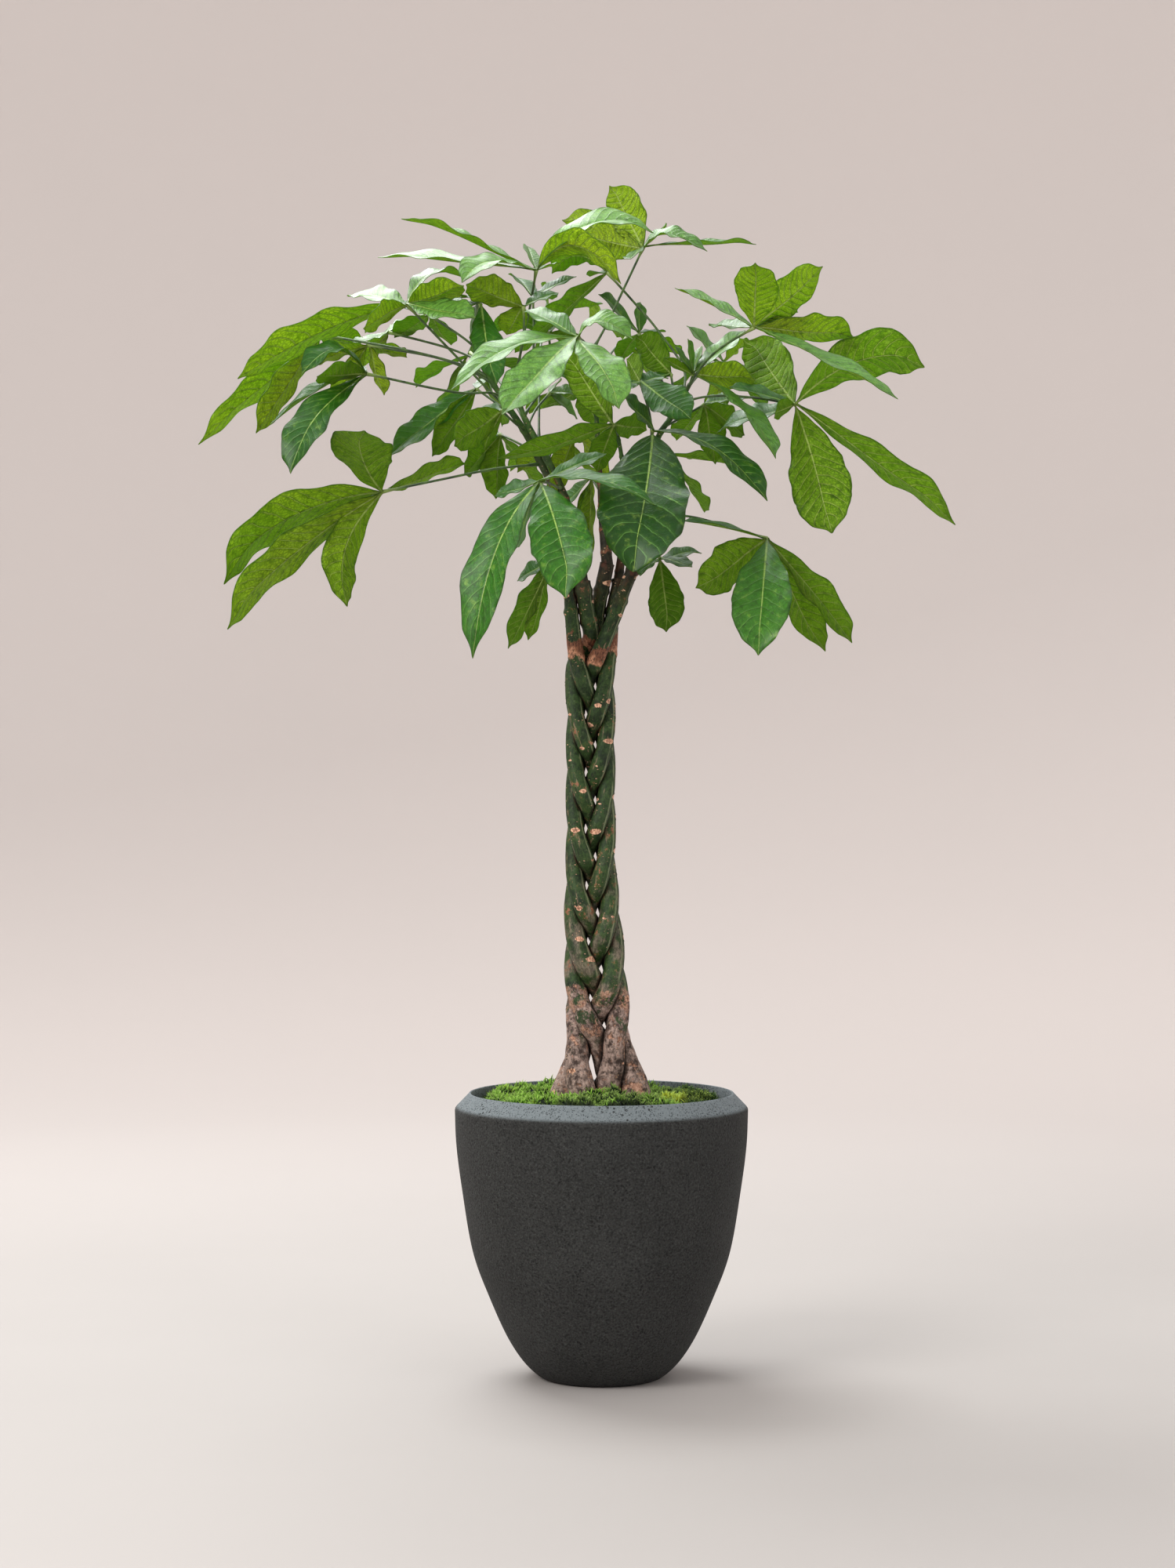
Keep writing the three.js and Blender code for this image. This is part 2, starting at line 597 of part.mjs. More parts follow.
    on: 1, at: 591, hub: [733, 546, 21], bends: [[709, 565, 12]],
    leaflets: [[661, 601, 81, 54, 116], [708, 634, -32, 50, 125], [779, 624, 67, 52, 111],
      [791, 561, 62, 44, 119]],
  },
  {
    on: 4, at: 522, hub: [739, 498, 191], bends: [[751, 506, 105]],
    leaflets: [[689, 522, 256, 44, 113], [709, 466, 212, 44, 63], [768, 545, 237, 50, 144],
      [782, 503, 152, 44, 107]],
  },
  {
    on: 2, at: 548, hub: [898, 516, 40], bends: [[877, 528, 22]],
    leaflets: [[950, 552, 0, 50, 120], [915, 590, 60, 50, 140], [862, 560, 90, 44, 120],
      [955, 505, 90, 44, 60]],
  },
  {
    on: 0, at: 578, hub: [638, 554, 73], bends: [[655, 562, 40]],
    leaflets: [[592, 606, 42, 50, 120], [631, 634, 65, 52, 135], [690, 623, 147, 48, 110],
      [588, 555, 137, 40, 49]],
  },
  {
    on: 1, at: 534, hub: [700, 424, 103], bends: [[702, 475, 57]],
    leaflets: [[657, 403, 76, 44, 122], [656, 448, 126, 44, 106], [732, 387, 104, 40, 61],
      [753, 454, 82, 44, 120]],
  },
  {
    on: 0, at: 500, hub: [548, 402, 70], bends: [[609, 447, 39]],
    leaflets: [[490, 385, 40, 44, 70], [505, 430, 110, 46, 120], [575, 440, 120, 44, 120],
      [600, 385, 60, 44, 70]],
  },
  {
    on: 2, at: 498, hub: [923, 463, 180], bends: [[894, 477, 99]],
    leaflets: [[876, 414, 182, 40, 63], [954, 432, 167, 46, 102], [970, 498, 226, 50, 132],
      [910, 525, 238, 46, 122]],
  },
  {
    on: 0, at: 487, hub: [470, 440, 60], bends: [[570, 460, 33]],
    leaflets: [[400, 462, 40, 44, 110], [425, 508, 90, 44, 120], [490, 503, 90, 40, 120],
      [520, 455, 90, 40, 110]],
  },
];

// Half-width of a blade along its length, as a share of its widest half: widest past the middle
function bladeShape(t) {
  return Math.sin(Math.PI * t ** BLADE_WIDEST) ** BLADE_FULLNESS;
}

// One leaflet: an arched, folded blade, thickest at its midrib and sharp at its edges
function leaflet(hub, [across, down, depth, width, roll, viaAcross, viaDown]) {
  const tip = place([across, down, depth]);
  const span = tip.clone().sub(hub);
  const length = span.length();
  const middle = viaAcross === undefined
    ? hub.clone().lerp(tip, 0.5)
    : place([viaAcross, viaDown, (hub.y + depth) / 2]);
  const control = middle.clone().multiplyScalar(2).addScaledVector(hub, -0.5).addScaledVector(tip, -0.5);
  const midrib = new THREE.QuadraticBezierCurve3(hub, control, tip);
  const upper = upperSide(span.normalize(), roll, hub);
  const rings = BLADE_STATIONS.map((t) => {
    const along = midrib.getTangent(t);
    const normal = upper.clone().addScaledVector(along, -upper.dot(along)).normalize();
    const side = along.clone().cross(normal);
    const half = t === 0 ? BLADE_ROOT_HALF_WIDTH : (width / 2) * bladeShape(t);
    const arch = BLADE_ARCH * length * Math.cos(THREE.MathUtils.degToRad(roll)) * 4 * t * (1 - t);
    const centre = midrib.getPoint(t).addScaledVector(TO_VIEWER, arch);
    const edge = (sign) => centre.clone()
      .addScaledVector(side, sign * half)
      .addScaledVector(normal, BLADE_FOLD * half);
    const face = (sign) => centre.clone().addScaledVector(normal, (sign * LEAF_THICKNESS) / 2);
    return [edge(1), face(1), edge(-1), face(-1)];
  });
  return solidOf(loft([...rings, [tip]]));
}

// Direction that the upper side faces for a leaflet along `span`
function upperSide(span, roll, hub) {
  const facing = TO_VIEWER.clone().addScaledVector(span, -TO_VIEWER.dot(span)).normalize();
  const rising = facing.clone().cross(span);
  const sky = UP.clone().add(new THREE.Vector3(hub.x, 0, 0).multiplyScalar(SKY_LEAN));
  if (rising.dot(sky) < 0) rising.negate();
  const angle = THREE.MathUtils.degToRad(roll);
  return facing.multiplyScalar(Math.cos(angle)).addScaledVector(rising, Math.sin(angle));
}

// Point of a shoot's middle line at a pixel height
function shootPoint(shoot, down) {
  const points = new THREE.CatmullRomCurve3(shoot.map(place)).getPoints(SHOOT_POINTS);
  const height = place([0, down]).z;
  return points.find((point) => point.z >= height) ?? points.at(-1);
}

// One compound leaf: stalk, hub and leaflets in one solid, which meets the stem with a small gap
function leaf({ on, at, hub, bends, leaflets }, stems) {
  const centre = place(hub);
  const stalk = new THREE.CatmullRomCurve3([shootPoint(stems[on].shoot, at), ...bends.map(place), centre]);
  const knob = new THREE.OctahedronGeometry(HUB_RADIUS).translate(centre.x, centre.y, centre.z);
  const radius = () => PETIOLE_RADIUS;
  const stalkBody = solidOf(taperedTube(stalk, radius, 3 + 2 * bends.length, STALK_SIDES));
  const blades = leaflets.map((values) => leaflet(centre, values));
  const whole = blades.reduce((body, blade) => body.add(blade), stalkBody.add(solidOf(knob)));
  const parts = whole.subtract(stems[on].grown).decompose();
  return parts.sort((a, b) => b.volume() - a.volume())[0];
}

const stems = growStems();
add('planter', geometryOf(planter()), STONE);
add('potting_soil', geometryOf(soil(stems)), SOIL);
for (let i = 0; i < MOSS_CUSHIONS; i++) {
  add(`moss_cushion_${i + 1}`, mossCushion(i), MOSS);
}
for (const stem of stems) {
  add(stem.name, geometryOf(stem.body), BARK);
}
LEAVES.forEach((values, i) => {
  add(`leaf_${String(i + 1).padStart(2, '0')}`, geometryOf(leaf(values, stems)), LEAF);
});

export default tree;
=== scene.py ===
# %% [markdown]
# # A potted money tree
# Five slim stems are braided into one trunk, long-stalked leaves spread like hands above it, and
# cushions of moss hide the soil of a tapered round planter.
# The packed model comes first. It fixes where everything stands and how big it is, so each piece
# below is made in its place, in metres, and nothing is fitted by eye.

# %% Load the packed model
import math

import bpy
import numpy as np
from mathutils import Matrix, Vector, noise


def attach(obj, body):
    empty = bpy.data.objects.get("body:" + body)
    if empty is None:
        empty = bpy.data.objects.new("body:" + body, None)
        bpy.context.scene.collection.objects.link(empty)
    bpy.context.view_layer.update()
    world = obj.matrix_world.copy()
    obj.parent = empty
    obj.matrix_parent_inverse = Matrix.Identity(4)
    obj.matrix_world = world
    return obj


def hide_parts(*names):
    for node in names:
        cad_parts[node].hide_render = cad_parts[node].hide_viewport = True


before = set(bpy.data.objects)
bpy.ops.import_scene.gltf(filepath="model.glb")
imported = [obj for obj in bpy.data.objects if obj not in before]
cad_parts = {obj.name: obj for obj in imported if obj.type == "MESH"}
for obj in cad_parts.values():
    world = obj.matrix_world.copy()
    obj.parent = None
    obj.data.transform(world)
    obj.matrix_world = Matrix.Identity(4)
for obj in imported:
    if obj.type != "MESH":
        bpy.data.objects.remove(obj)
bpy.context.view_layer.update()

# %% [markdown]
# ## From the photograph to the room
# The photograph was taken level, from far away, so a pixel and a depth name a place in the room.
# The planter's width in pixels against its width in metres gives the scale, which grows a little
# with depth, as perspective asks. The stems and leaves are written down in this form, because a
# leaf's tip is easy to find in a picture and hard to find in space.

# %% A place in the room from a pixel
VIEW_DISTANCE = 4.2
VIEW_HEIGHT = 0.8196
VIEW_SIDE = -0.0193
PHOTO_CENTRE = (749.5, 1000)
PHOTO_HEIGHT = 2000
POT_WIDTH, POT_WIDTH_PIXELS = 0.406, 374
METRES_PER_PIXEL = POT_WIDTH / POT_WIDTH_PIXELS


def place(spot):
    """A pixel across, a pixel down and a depth in millimetres behind the planter's middle."""
    across, down, depth = spot
    depth = depth / 1000
    scale = METRES_PER_PIXEL * (VIEW_DISTANCE + depth) / VIEW_DISTANCE
    x = VIEW_SIDE + (across - PHOTO_CENTRE[0]) * scale
    return np.array([x, depth, VIEW_HEIGHT + (PHOTO_CENTRE[1] - down) * scale])


print("a pixel is", round(METRES_PER_PIXEL * 1000, 3), "mm at the planter")

# %% [markdown]
# ## The camera
# A camera that stands level keeps the trunk upright. Its sensor's long side covers the picture's
# height, so the lens follows from its distance and from how many metres the picture is high. Depth
# of field stays off, and the plain view transform shows a colour as it was mixed.

# %% Set up the camera
SENSOR = 36
view_metres = METRES_PER_PIXEL * PHOTO_HEIGHT
lens = SENSOR * VIEW_DISTANCE / view_metres
bpy.ops.object.camera_add(
    location=(VIEW_SIDE, -VIEW_DISTANCE, VIEW_HEIGHT), rotation=(math.pi / 2, 0, 0)
)
camera = bpy.context.object
camera.name = "photo_camera"
camera.data.sensor_fit = "AUTO"
camera.data.sensor_width = SENSOR
camera.data.lens = lens
bpy.context.scene.camera = camera
bpy.context.scene.view_settings.view_transform = "Standard"
print("lens", round(lens, 2), "mm")

# %% [markdown]
# ## Writing shaders as sums
# A shader is a graph of nodes, which is slow to write down link by link. Here an output socket is
# wrapped in a small class whose signs add Math nodes, so a pattern reads like a formula. Colours
# can't go through Math nodes, which turn them grey, so they are laid over each other with Mix.


# %% Sockets that can be added and multiplied
def sign(operation, swapped=False):
    """A method of Wire that adds one Math node."""

    def method(self, *other):
        values = (*other, self) if swapped else (self, *other)
        return self.finish.node("Math", {"operation": operation}, dict(enumerate(values)))

    return method


class Wire:
    """One output socket. Arithmetic on it adds Math nodes."""

    def __init__(self, finish, socket):
        self.finish, self.socket = finish, socket

    __add__ = __radd__ = sign("ADD")
    __mul__ = __rmul__ = sign("MULTIPLY")
    __sub__, __rsub__ = sign("SUBTRACT"), sign("SUBTRACT", swapped=True)
    __truediv__ = sign("DIVIDE")
    __pow__ = sign("POWER")
    __abs__ = sign("ABSOLUTE")
    fraction = sign("FRACT")

    def ramp(self, start, end):
        """0 where the value is at start, 1 at end, smooth between them."""
        settings = {"interpolation_type": "SMOOTHSTEP"}
        return self.finish.node("MapRange", settings, {0: self, 1: start, 2: end})


print("a Wire knows", [name for name in vars(Wire) if callable(getattr(Wire, name))][1:])


# %% Colours as a screen shows them
def paint(red, green, blue):
    """Screen values from 0 to 255, turned into the linear light that shaders reckon with."""
    light = []
    for value in (red / 255, green / 255, blue / 255):
        light.append(value / 12.92 if value <= 0.04045 else ((value + 0.055) / 1.055) ** 2.4)
    return (*light, 1.0)


print("mid grey is", round(paint(128, 128, 128)[0], 3), "in linear light")


# %% A finish that grows node by node
class Finish:
    """A material, its nodes, and one method that makes any node."""

    def __init__(self, name):
        self.material = bpy.data.materials.new(name)
        self.material.use_nodes = True
        self.nodes = self.material.node_tree.nodes
        self.links = self.material.node_tree.links
        self.nodes.clear()
        self.spot = self.node("TexCoord", output="Object")

    def node(self, kind, settings=None, values=None, output=0):
        made = self.nodes.new("ShaderNode" + kind)
        for name, value in (settings or {}).items():
            setattr(made, name, value)
        for name, value in (values or {}).items():
            if isinstance(value, Wire):
                self.links.new(value.socket, made.inputs[name])
            else:
                made.inputs[name].default_value = value
        return Wire(self, made.outputs[output] if made.outputs else None)

    def attribute(self, name):
        return self.node("Attribute", {"attribute_name": name}, output="Fac")

    def parts(self, vector):
        outputs = self.node("SeparateXYZ", None, {0: vector}).socket.node.outputs
        return [Wire(self, outputs[i]) for i in range(3)]

    def stretch(self, vector, *scale):
        return self.node("Mapping", None, {"Vector": vector, "Scale": scale})

    def grain(self, scale, detail=3.0, roughness=0.55, vector=None):
        values = {"Vector": vector or self.spot, "Scale": scale, "Detail": detail}
        values["Roughness"] = roughness
        return self.node("TexNoise", None, values)

    def cells(self, scale, feature="F1", vector=None):
        values = {"Vector": vector or self.spot, "Scale": scale}
        return self.node("TexVoronoi", {"feature": feature}, values, "Distance")

    def layers(self, base, *coats):
        """A base colour and the coats over it, each a colour and how much of it covers."""
        under = base if isinstance(base, Wire) else paint(*base)
        for colour, amount in coats:
            over = colour if isinstance(colour, Wire) else paint(*colour)
            under = self.node("Mix", {"data_type": "RGBA"}, {0: amount, 6: under, 7: over}, 2)
        return under

    def shade(self, colour, rough, relief, height, specular=0.5, strength=1.0, **coat):
        """An opaque surface whose relief is so many metres high."""
        bumps = {"Height": relief, "Distance": height, "Strength": strength}
        values = {"Base Color": colour, "Roughness": rough, "Specular IOR Level": specular}
        values["Normal"] = self.node("Bump", None, bumps, "Normal")
        values |= {f"Coat {name.title()}": value for name, value in coat.items()}
        return self.node("BsdfPrincipled", None, values)

    def surface(self, shader):
        self.node("OutputMaterial", None, {"Surface": shader})
        print(self.material.name, "has", len(self.nodes), "nodes")
        return self.material


print("a Finish knows", [name for name in vars(Finish) if name[0] != "_"])

# %% [markdown]
# ## Making, finishing and handing over a piece
# Operators act on whatever is selected, so every piece begins by deselecting everything. When it
# is done it rides on the model's one body, and the parts of the packed model that it stands for
# are hidden.


# %% Helpers for every piece
def mode(name):
    bpy.ops.object.mode_set(mode=name)


def deselect():
    bpy.ops.object.select_all(action="DESELECT")


def choose(piece):
    """Select one object alone and make it the active one."""
    deselect()
    piece.select_set(True)
    bpy.context.view_layer.objects.active = piece


def settle(piece):
    """Put the object's place into its mesh."""
    choose(piece)
    bpy.ops.object.transform_apply(location=True, rotation=True, scale=True)


def triangles(*pieces):
    return sum(len(face.vertices) - 2 for piece in pieces for face in piece.data.polygons)


def hand_over(piece, slot, *nodes):
    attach(piece, "root")
    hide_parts(*nodes)


def smooth(start, end, value):
    """0 at start, 1 at end, and smooth between; start may be the larger one."""
    share = np.clip((np.asarray(value, float) - start) / (end - start), 0, 1)
    return share * share * (3 - 2 * share)


print("smooth step in the middle is", float(smooth(0, 2, 1)))

# %% [markdown]
# ## The planter
# Any round pot is a profile turned about its axis: one point is extruded along the outline, over
# the bevelled rim and down inside, and Spin turns the line into a bowl. Its last column of points
# lands on its first, so doubles are merged and the normals recalculated.


# %% A smooth curve through points
def thread(points, count):
    """A smooth curve through the points, as `count` evenly spaced places on it."""
    points = np.asarray(points, float)
    ends = [2 * points[0] - points[1]], points, [2 * points[-1] - points[-2]]
    p = np.vstack(ends)
    gaps = np.maximum(np.linalg.norm(np.diff(p, axis=0), axis=1), 1e-9) ** 0.5
    share = np.linspace(0, 1, 24, endpoint=False)[:, None]
    runs = []
    for i in range(1, len(p) - 2):
        before, here, after = gaps[i - 1 : i + 2]
        leave = (p[i] - p[i - 1]) / before - (p[i + 1] - p[i - 1]) / (before + here)
        leave = (leave + (p[i + 1] - p[i]) / here) * here
        arrive = (p[i + 1] - p[i]) / here - (p[i + 2] - p[i]) / (here + after)
        arrive = (arrive + (p[i + 2] - p[i + 1]) / after) * here
        cubic = 2 * p[i] - 2 * p[i + 1] + leave + arrive
        square = -3 * p[i] + 3 * p[i + 1] - 2 * leave - arrive
        runs.append(p[i] + leave * share + square * share**2 + cubic * share**3)
    fine = np.vstack([*runs, points[-1:]])
    steps = np.linalg.norm(np.diff(fine, axis=0), axis=1)
    along = np.concatenate([[0], np.cumsum(steps)])
    even = np.linspace(0, along[-1], count)
    return np.column_stack([np.interp(even, along, column) for column in fine.T])


print("halfway from (0, 0) to (2, 2):", thread([(0, 0), (2, 2)], 3)[1])

# %% The planter's outline
POT_RADIUS = POT_WIDTH / 2
POT_HEIGHT = 0.393
RIM_BEVEL = 0.021
POT_WALL = 0.021
POT_FLOOR = 0.020
OUTLINE_RADII = [0.080, 0.087, 0.106, 0.128, 0.156, 0.177, 0.193, 0.201, 0.203]
OUTLINE_HEIGHTS = [0.0, 0.003, 0.020, 0.052, 0.113, 0.170, 0.260, 0.323, 0.372]
outline = thread(np.column_stack([OUTLINE_RADII, OUTLINE_HEIGHTS]), 64)


def pot_radius(height):
    return np.interp(height, outline[:, 1], outline[:, 0])


print("the planter is", round(2000 * pot_radius(0.2)), "mm wide at half height")

# %% The planter's whole profile
EDGE_ROUND = 0.003
shoulder_height = POT_HEIGHT - RIM_BEVEL
lip_radius = POT_RADIUS - RIM_BEVEL
INNER_EDGE = -0.0018
SHOULDER = [(-0.0001, -EDGE_ROUND), (-0.0007, -0.0002), (-0.0022, 0.0019)]
LIP = [(0.0026, -0.0024), (0.0012, -0.0006), (-0.0004, 0.0), (-0.0014, -0.0008)]
LIP.append((INNER_EDGE, -0.0028))
INNER_HEIGHTS = (0.368, 0.340, 0.290, 0.220, 0.150, 0.090, 0.045)
below_shoulder = outline[outline[:, 1] < shoulder_height - 2 * EDGE_ROUND]
profile = [(0.0, 0.0), *map(tuple, below_shoulder)]
profile += [(POT_RADIUS + out, shoulder_height + up) for out, up in SHOULDER]
profile += [(lip_radius + out, POT_HEIGHT + up) for out, up in LIP]
profile += [(lip_radius + INNER_EDGE, height) for height in (0.386, 0.380)]
profile += [(pot_radius(height) - POT_WALL, height) for height in INNER_HEIGHTS]
profile += [(pot_radius(POT_FLOOR) - POT_WALL, POT_FLOOR), (0.0, POT_FLOOR)]
print("profile of", len(profile), "points")

# %% Extrude a profile and spin it
WELD = 0.00002


def turn(name, profile, steps, crease=40):
    """A round piece from its profile of (radius, height) points."""
    deselect()
    bpy.ops.mesh.primitive_plane_add(size=0.01, location=(profile[0][0], 0, profile[0][1]))
    piece = bpy.context.object
    piece.name = name
    mode("EDIT")
    bpy.ops.mesh.merge(type="CENTER")
    here = profile[0]
    for there in profile[1:]:
        step = (there[0] - here[0], 0, there[1] - here[1])
        bpy.ops.mesh.extrude_region_move(TRANSFORM_OT_translate={"value": step})
        here = there
    bpy.ops.mesh.select_all(action="SELECT")
    bpy.ops.mesh.spin(steps=steps, angle=2 * math.pi, center=(0, 0, 0), axis=(0, 0, 1))
    bpy.ops.mesh.select_all(action="SELECT")
    bpy.ops.mesh.remove_doubles(threshold=WELD)
    bpy.ops.mesh.normals_make_consistent(inside=False)
    mode("OBJECT")
    bpy.ops.object.shade_smooth_by_angle(angle=math.radians(crease))
    settle(piece)
    return piece


planter = turn("money_tree_planter", profile, 160)
print("planter of", triangles(planter), "triangles")

# %% [markdown]
# ## Cast stone
# The planter is a matte, sand-filled casting. Close up it has fine grains, scattered pinholes
# where air was caught, and slow cloudy changes of tone. The rim's bevel is painted paler, a
# painted highlight where it faces the light from above.

# %% Charcoal stone finish
stone = Finish("charcoal_stone")
_, _, high = stone.parts(stone.spot)
clouds = stone.grain(9, 4.0)
sand = stone.grain(360, 3.0, 0.7)
grit = stone.cells(300)
waves = stone.grain(55, 3.0)
chosen = stone.grain(38, 2.0).ramp(0.50, 0.60)
pinholes = stone.cells(150).ramp(0.30, 0.12) * chosen
scattered = stone.grain(90, 2.0).ramp(0.34, 0.46)
pores = stone.cells(340).ramp(0.40, 0.25) * scattered
# The bevel is painted paler and bluish grey, a painted highlight where it faces the light from
# above
bevel_highlight = high.ramp(0.371, 0.377)
grey = stone.layers(
    (43, 44, 43),
    ((50, 51, 50), clouds.ramp(0.3, 0.7)),
    ((82, 84, 83), sand.ramp(0.52, 0.70) * 0.4),
    ((14, 14, 14), sand.ramp(0.50, 0.36) * 0.8),
    # painted highlight on the bevel
    ((121, 130, 134), bevel_highlight * (0.78 - 0.12 * sand.ramp(0.55, 0.40))),
    ((30, 33, 36), pores * (0.2 + 0.55 * bevel_highlight)),
    ((24, 24, 24), pinholes * 0.85),
)
relief = sand * 0.9 + grit * 0.35 + waves * 0.7 - pinholes * 1.1
cast = stone.shade(grey, 0.74 + 0.18 * sand, relief, 0.0014, specular=0.25)
planter.data.materials.append(stone.surface(cast))
hand_over(planter, "planter", "planter")

# %% [markdown]
# ## The potting soil
# Only a few dark gaps show the soil, so its packed shape stays and only its finish is made: crumbs
# of peat and bark from light to nearly black.

# %% Peat finish
peat = Finish("dark_peat")
crumbs = peat.cells(230)
fibres = peat.grain(180, 4.0, vector=peat.stretch(peat.spot, 1, 3, 1))
brown = peat.layers(
    (28, 20, 14), ((74, 54, 38), fibres.ramp(0.35, 0.75)), ((12, 9, 7), crumbs.ramp(0.25, 0.6))
)
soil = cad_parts["potting_soil"]
soil.data.materials.clear()
soil.data.materials.append(
    peat.surface(peat.shade(brown, 0.85 + 0.12 * fibres, fibres - crumbs, 0.002))
)

# %% [markdown]
# ## Copies that are bent into place
# Moss fronds, strands and leaflets repeat, but no two are bent alike. Each is modelled once with
# operators and read into a template of points and faces. A copy's points are then moved in code,
# and all the copies of a piece become one mesh.


# %% Templates and meshes
class Template:
    """Points and faces of something modelled once."""

    def __init__(self, piece):
        mesh = piece.data
        self.points = np.array([vertex.co[:] for vertex in mesh.vertices])
        self.faces = [tuple(face.vertices) for face in mesh.polygons]
        bpy.data.objects.remove(piece)
        bpy.data.meshes.remove(mesh)


class Heap:
    """Bent copies gathered for one piece, with values that its finish reads at each point."""

    def __init__(self):
        self.points, self.faces, self.kinds, self.maps = [], [], [], []
        self.values = {}
        self.count = 0

    def add(self, points, faces, kind=0, mapping=None, **values):
        self.points.append(points)
        self.faces += [tuple(i + self.count for i in face) for face in faces]
        self.kinds += [kind] * len(faces)
        self.maps.append(np.zeros((len(points), 2)) if mapping is None else mapping)
        for name, value in values.items():
            filled = np.broadcast_to(np.asarray(value, float), len(points))
            self.values.setdefault(name, []).append(filled)
        self.count += len(points)

    def piece(self, name, finishes, crease):
        mesh = bpy.data.meshes.new(name)
        mesh.from_pydata(np.vstack(self.points).tolist(), [], self.faces)
        for finish in finishes:
            mesh.materials.append(finish)
        mesh.polygons.foreach_set("material_index", self.kinds)
        corners = np.zeros(len(mesh.loops), np.int64)
        mesh.loops.foreach_get("vertex_index", corners)
        mapped = np.vstack(self.maps)[corners]
        mesh.uv_layers.new(name="Blade").data.foreach_set("uv", mapped.ravel())
        for value_name, lists in self.values.items():
            layer = mesh.attributes.new(value_name, "FLOAT", "POINT")
            layer.data.foreach_set("value", np.concatenate(lists).astype(np.float32))
        piece = bpy.data.objects.new(name, mesh)
        bpy.context.scene.collection.objects.link(piece)
        choose(piece)
        bpy.ops.object.shade_smooth_by_angle(angle=math.radians(crease))
        return piece


print("templates ready")

# %% [markdown]
# ## Moss
# The moss lies in eight cushions. Each is a swollen pad with a lumpy top and, on it, a pelt of
# short curled fronds. Hair wouldn't travel with the mesh, so the fronds are small solid spindles,
# scattered with a fixed seed and leaning outwards from the middles of clumps.

# %% Clumps in the moss
CLUMPS = 190
CLUMP_REACH = 0.022
CLUMPS_END = 0.178
GOLDEN_CLUMP, GOLDEN_REACH, GOLDEN_TONE = (0.112, -0.035), 0.034, 3.0


def moss_clumps(x, y):
    """Rounded clumps of about 3 cm, as a height between 0 and 1, and which clump it is."""
    near = np.full(x.shape, 9.0)
    which = np.zeros(x.shape, int)
    for i, (clump_x, clump_y) in enumerate(clump_spots):
        away = np.hypot(x - clump_x, y - clump_y)
        which = np.where(away < near, i, which)
        near = np.minimum(near, away)
    return 1 - smooth(0.0, CLUMP_REACH, near), which


chance = np.random.default_rng(41)
clump_spots = []
while len(clump_spots) < CLUMPS:
    angle = chance.uniform(0, 2 * math.pi)
    radius = CLUMPS_END * math.sqrt(chance.uniform(0.02, 1))
    clump_spots.append((radius * math.cos(angle), radius * math.sin(angle)))
clump_spots = np.array(clump_spots)
golden_near = np.hypot(*(clump_spots - GOLDEN_CLUMP).T) < GOLDEN_REACH
# The left side is fresher and the middle and right are darker
clump_tones = chance.uniform(-1, 1, CLUMPS) + 0.5 - 1.4 * smooth(-0.09, 0.0, clump_spots[:, 0])
clump_tones = np.where(golden_near, GOLDEN_TONE, clump_tones)
print(CLUMPS, "clumps of moss,", golden_near.sum(), "of them golden")

# %% A cushion's top
SOIL_TOP = 0.362
MOSS_EDGE = 0.376
MOSS_SWELL = 0.014
MOSS_CUSHIONS = 8
TRUNK_FOOT = (0.088, 0.060)
PELT = 0.004
SEAM = 0.006
INNER_DROP, OUTER_DROP = 0.010, 0.005
# A bank of moss hides the bottom of the front foot
BANK, BANK_WIDTH, BANK_DEPTH, BANK_RISE = (0.006, -0.043), 0.022, 0.017, 0.012
moss_wall = pot_radius(SOIL_TOP) - POT_WALL - 0.001


def moss_top(number, across, outward):
    """Place on top of a cushion: across is 0 to 1 round the pot, outward 0 to 1 to its wall."""
    angle = 2 * math.pi / MOSS_CUSHIONS * (number + SEAM + across * (1 - 2 * SEAM))
    cos, sin = np.cos(angle), np.sin(angle)
    foot = 1 / np.hypot(cos / TRUNK_FOOT[0], sin / TRUNK_FOOT[1])
    radius = foot + (moss_wall - foot) * outward
    x, y = radius * cos, radius * sin
    clumps, which = moss_clumps(x, y)
    inside = np.clip(outward, 0, 1)
    height = MOSS_SWELL + 0.006 * abs(math.sin(number * 2.3))
    height = height + 0.003 * np.sin(angle * 17 + inside * 5) * np.sin(inside * 9 + number)
    pillow = (0.62 + 0.38 * np.minimum(1, 6 * across * (1 - across))) * (1 - 0.5 * inside**6)
    pillow = pillow * (1 - 0.95 * smooth(0.66, 0.92, outward))
    rise = MOSS_EDGE - PELT + pillow * height * (0.58 + 0.58 * clumps)
    rise -= INNER_DROP * smooth(0.0, -0.5, outward) + OUTER_DROP * smooth(0.80, 1.0, outward)
    bank = np.exp(-(((x - BANK[0]) / BANK_WIDTH) ** 2) - ((y - BANK[1]) / BANK_DEPTH) ** 2)
    return np.stack([x, y, rise + BANK_RISE * bank], axis=-1), which


cushion_middle, _ = moss_top(0, 0.5, 0.5)
print("the first cushion's middle is at", cushion_middle.round(3))

# %% One pad and one frond, modelled once
PAD_ACROSS, PAD_OUTWARD = 40, 26
FROND_CUTS = (0.35, 0.72)
deselect()
bpy.ops.mesh.primitive_grid_add(x_subdivisions=PAD_ACROSS, y_subdivisions=PAD_OUTWARD, size=2)
mode("EDIT")
bpy.ops.mesh.select_all(action="SELECT")
bpy.ops.mesh.extrude_region_move(TRANSFORM_OT_translate={"value": (0, 0, -1)})
bpy.ops.mesh.select_all(action="SELECT")
bpy.ops.mesh.normals_make_consistent(inside=False)
mode("OBJECT")
pad = Template(bpy.context.object)

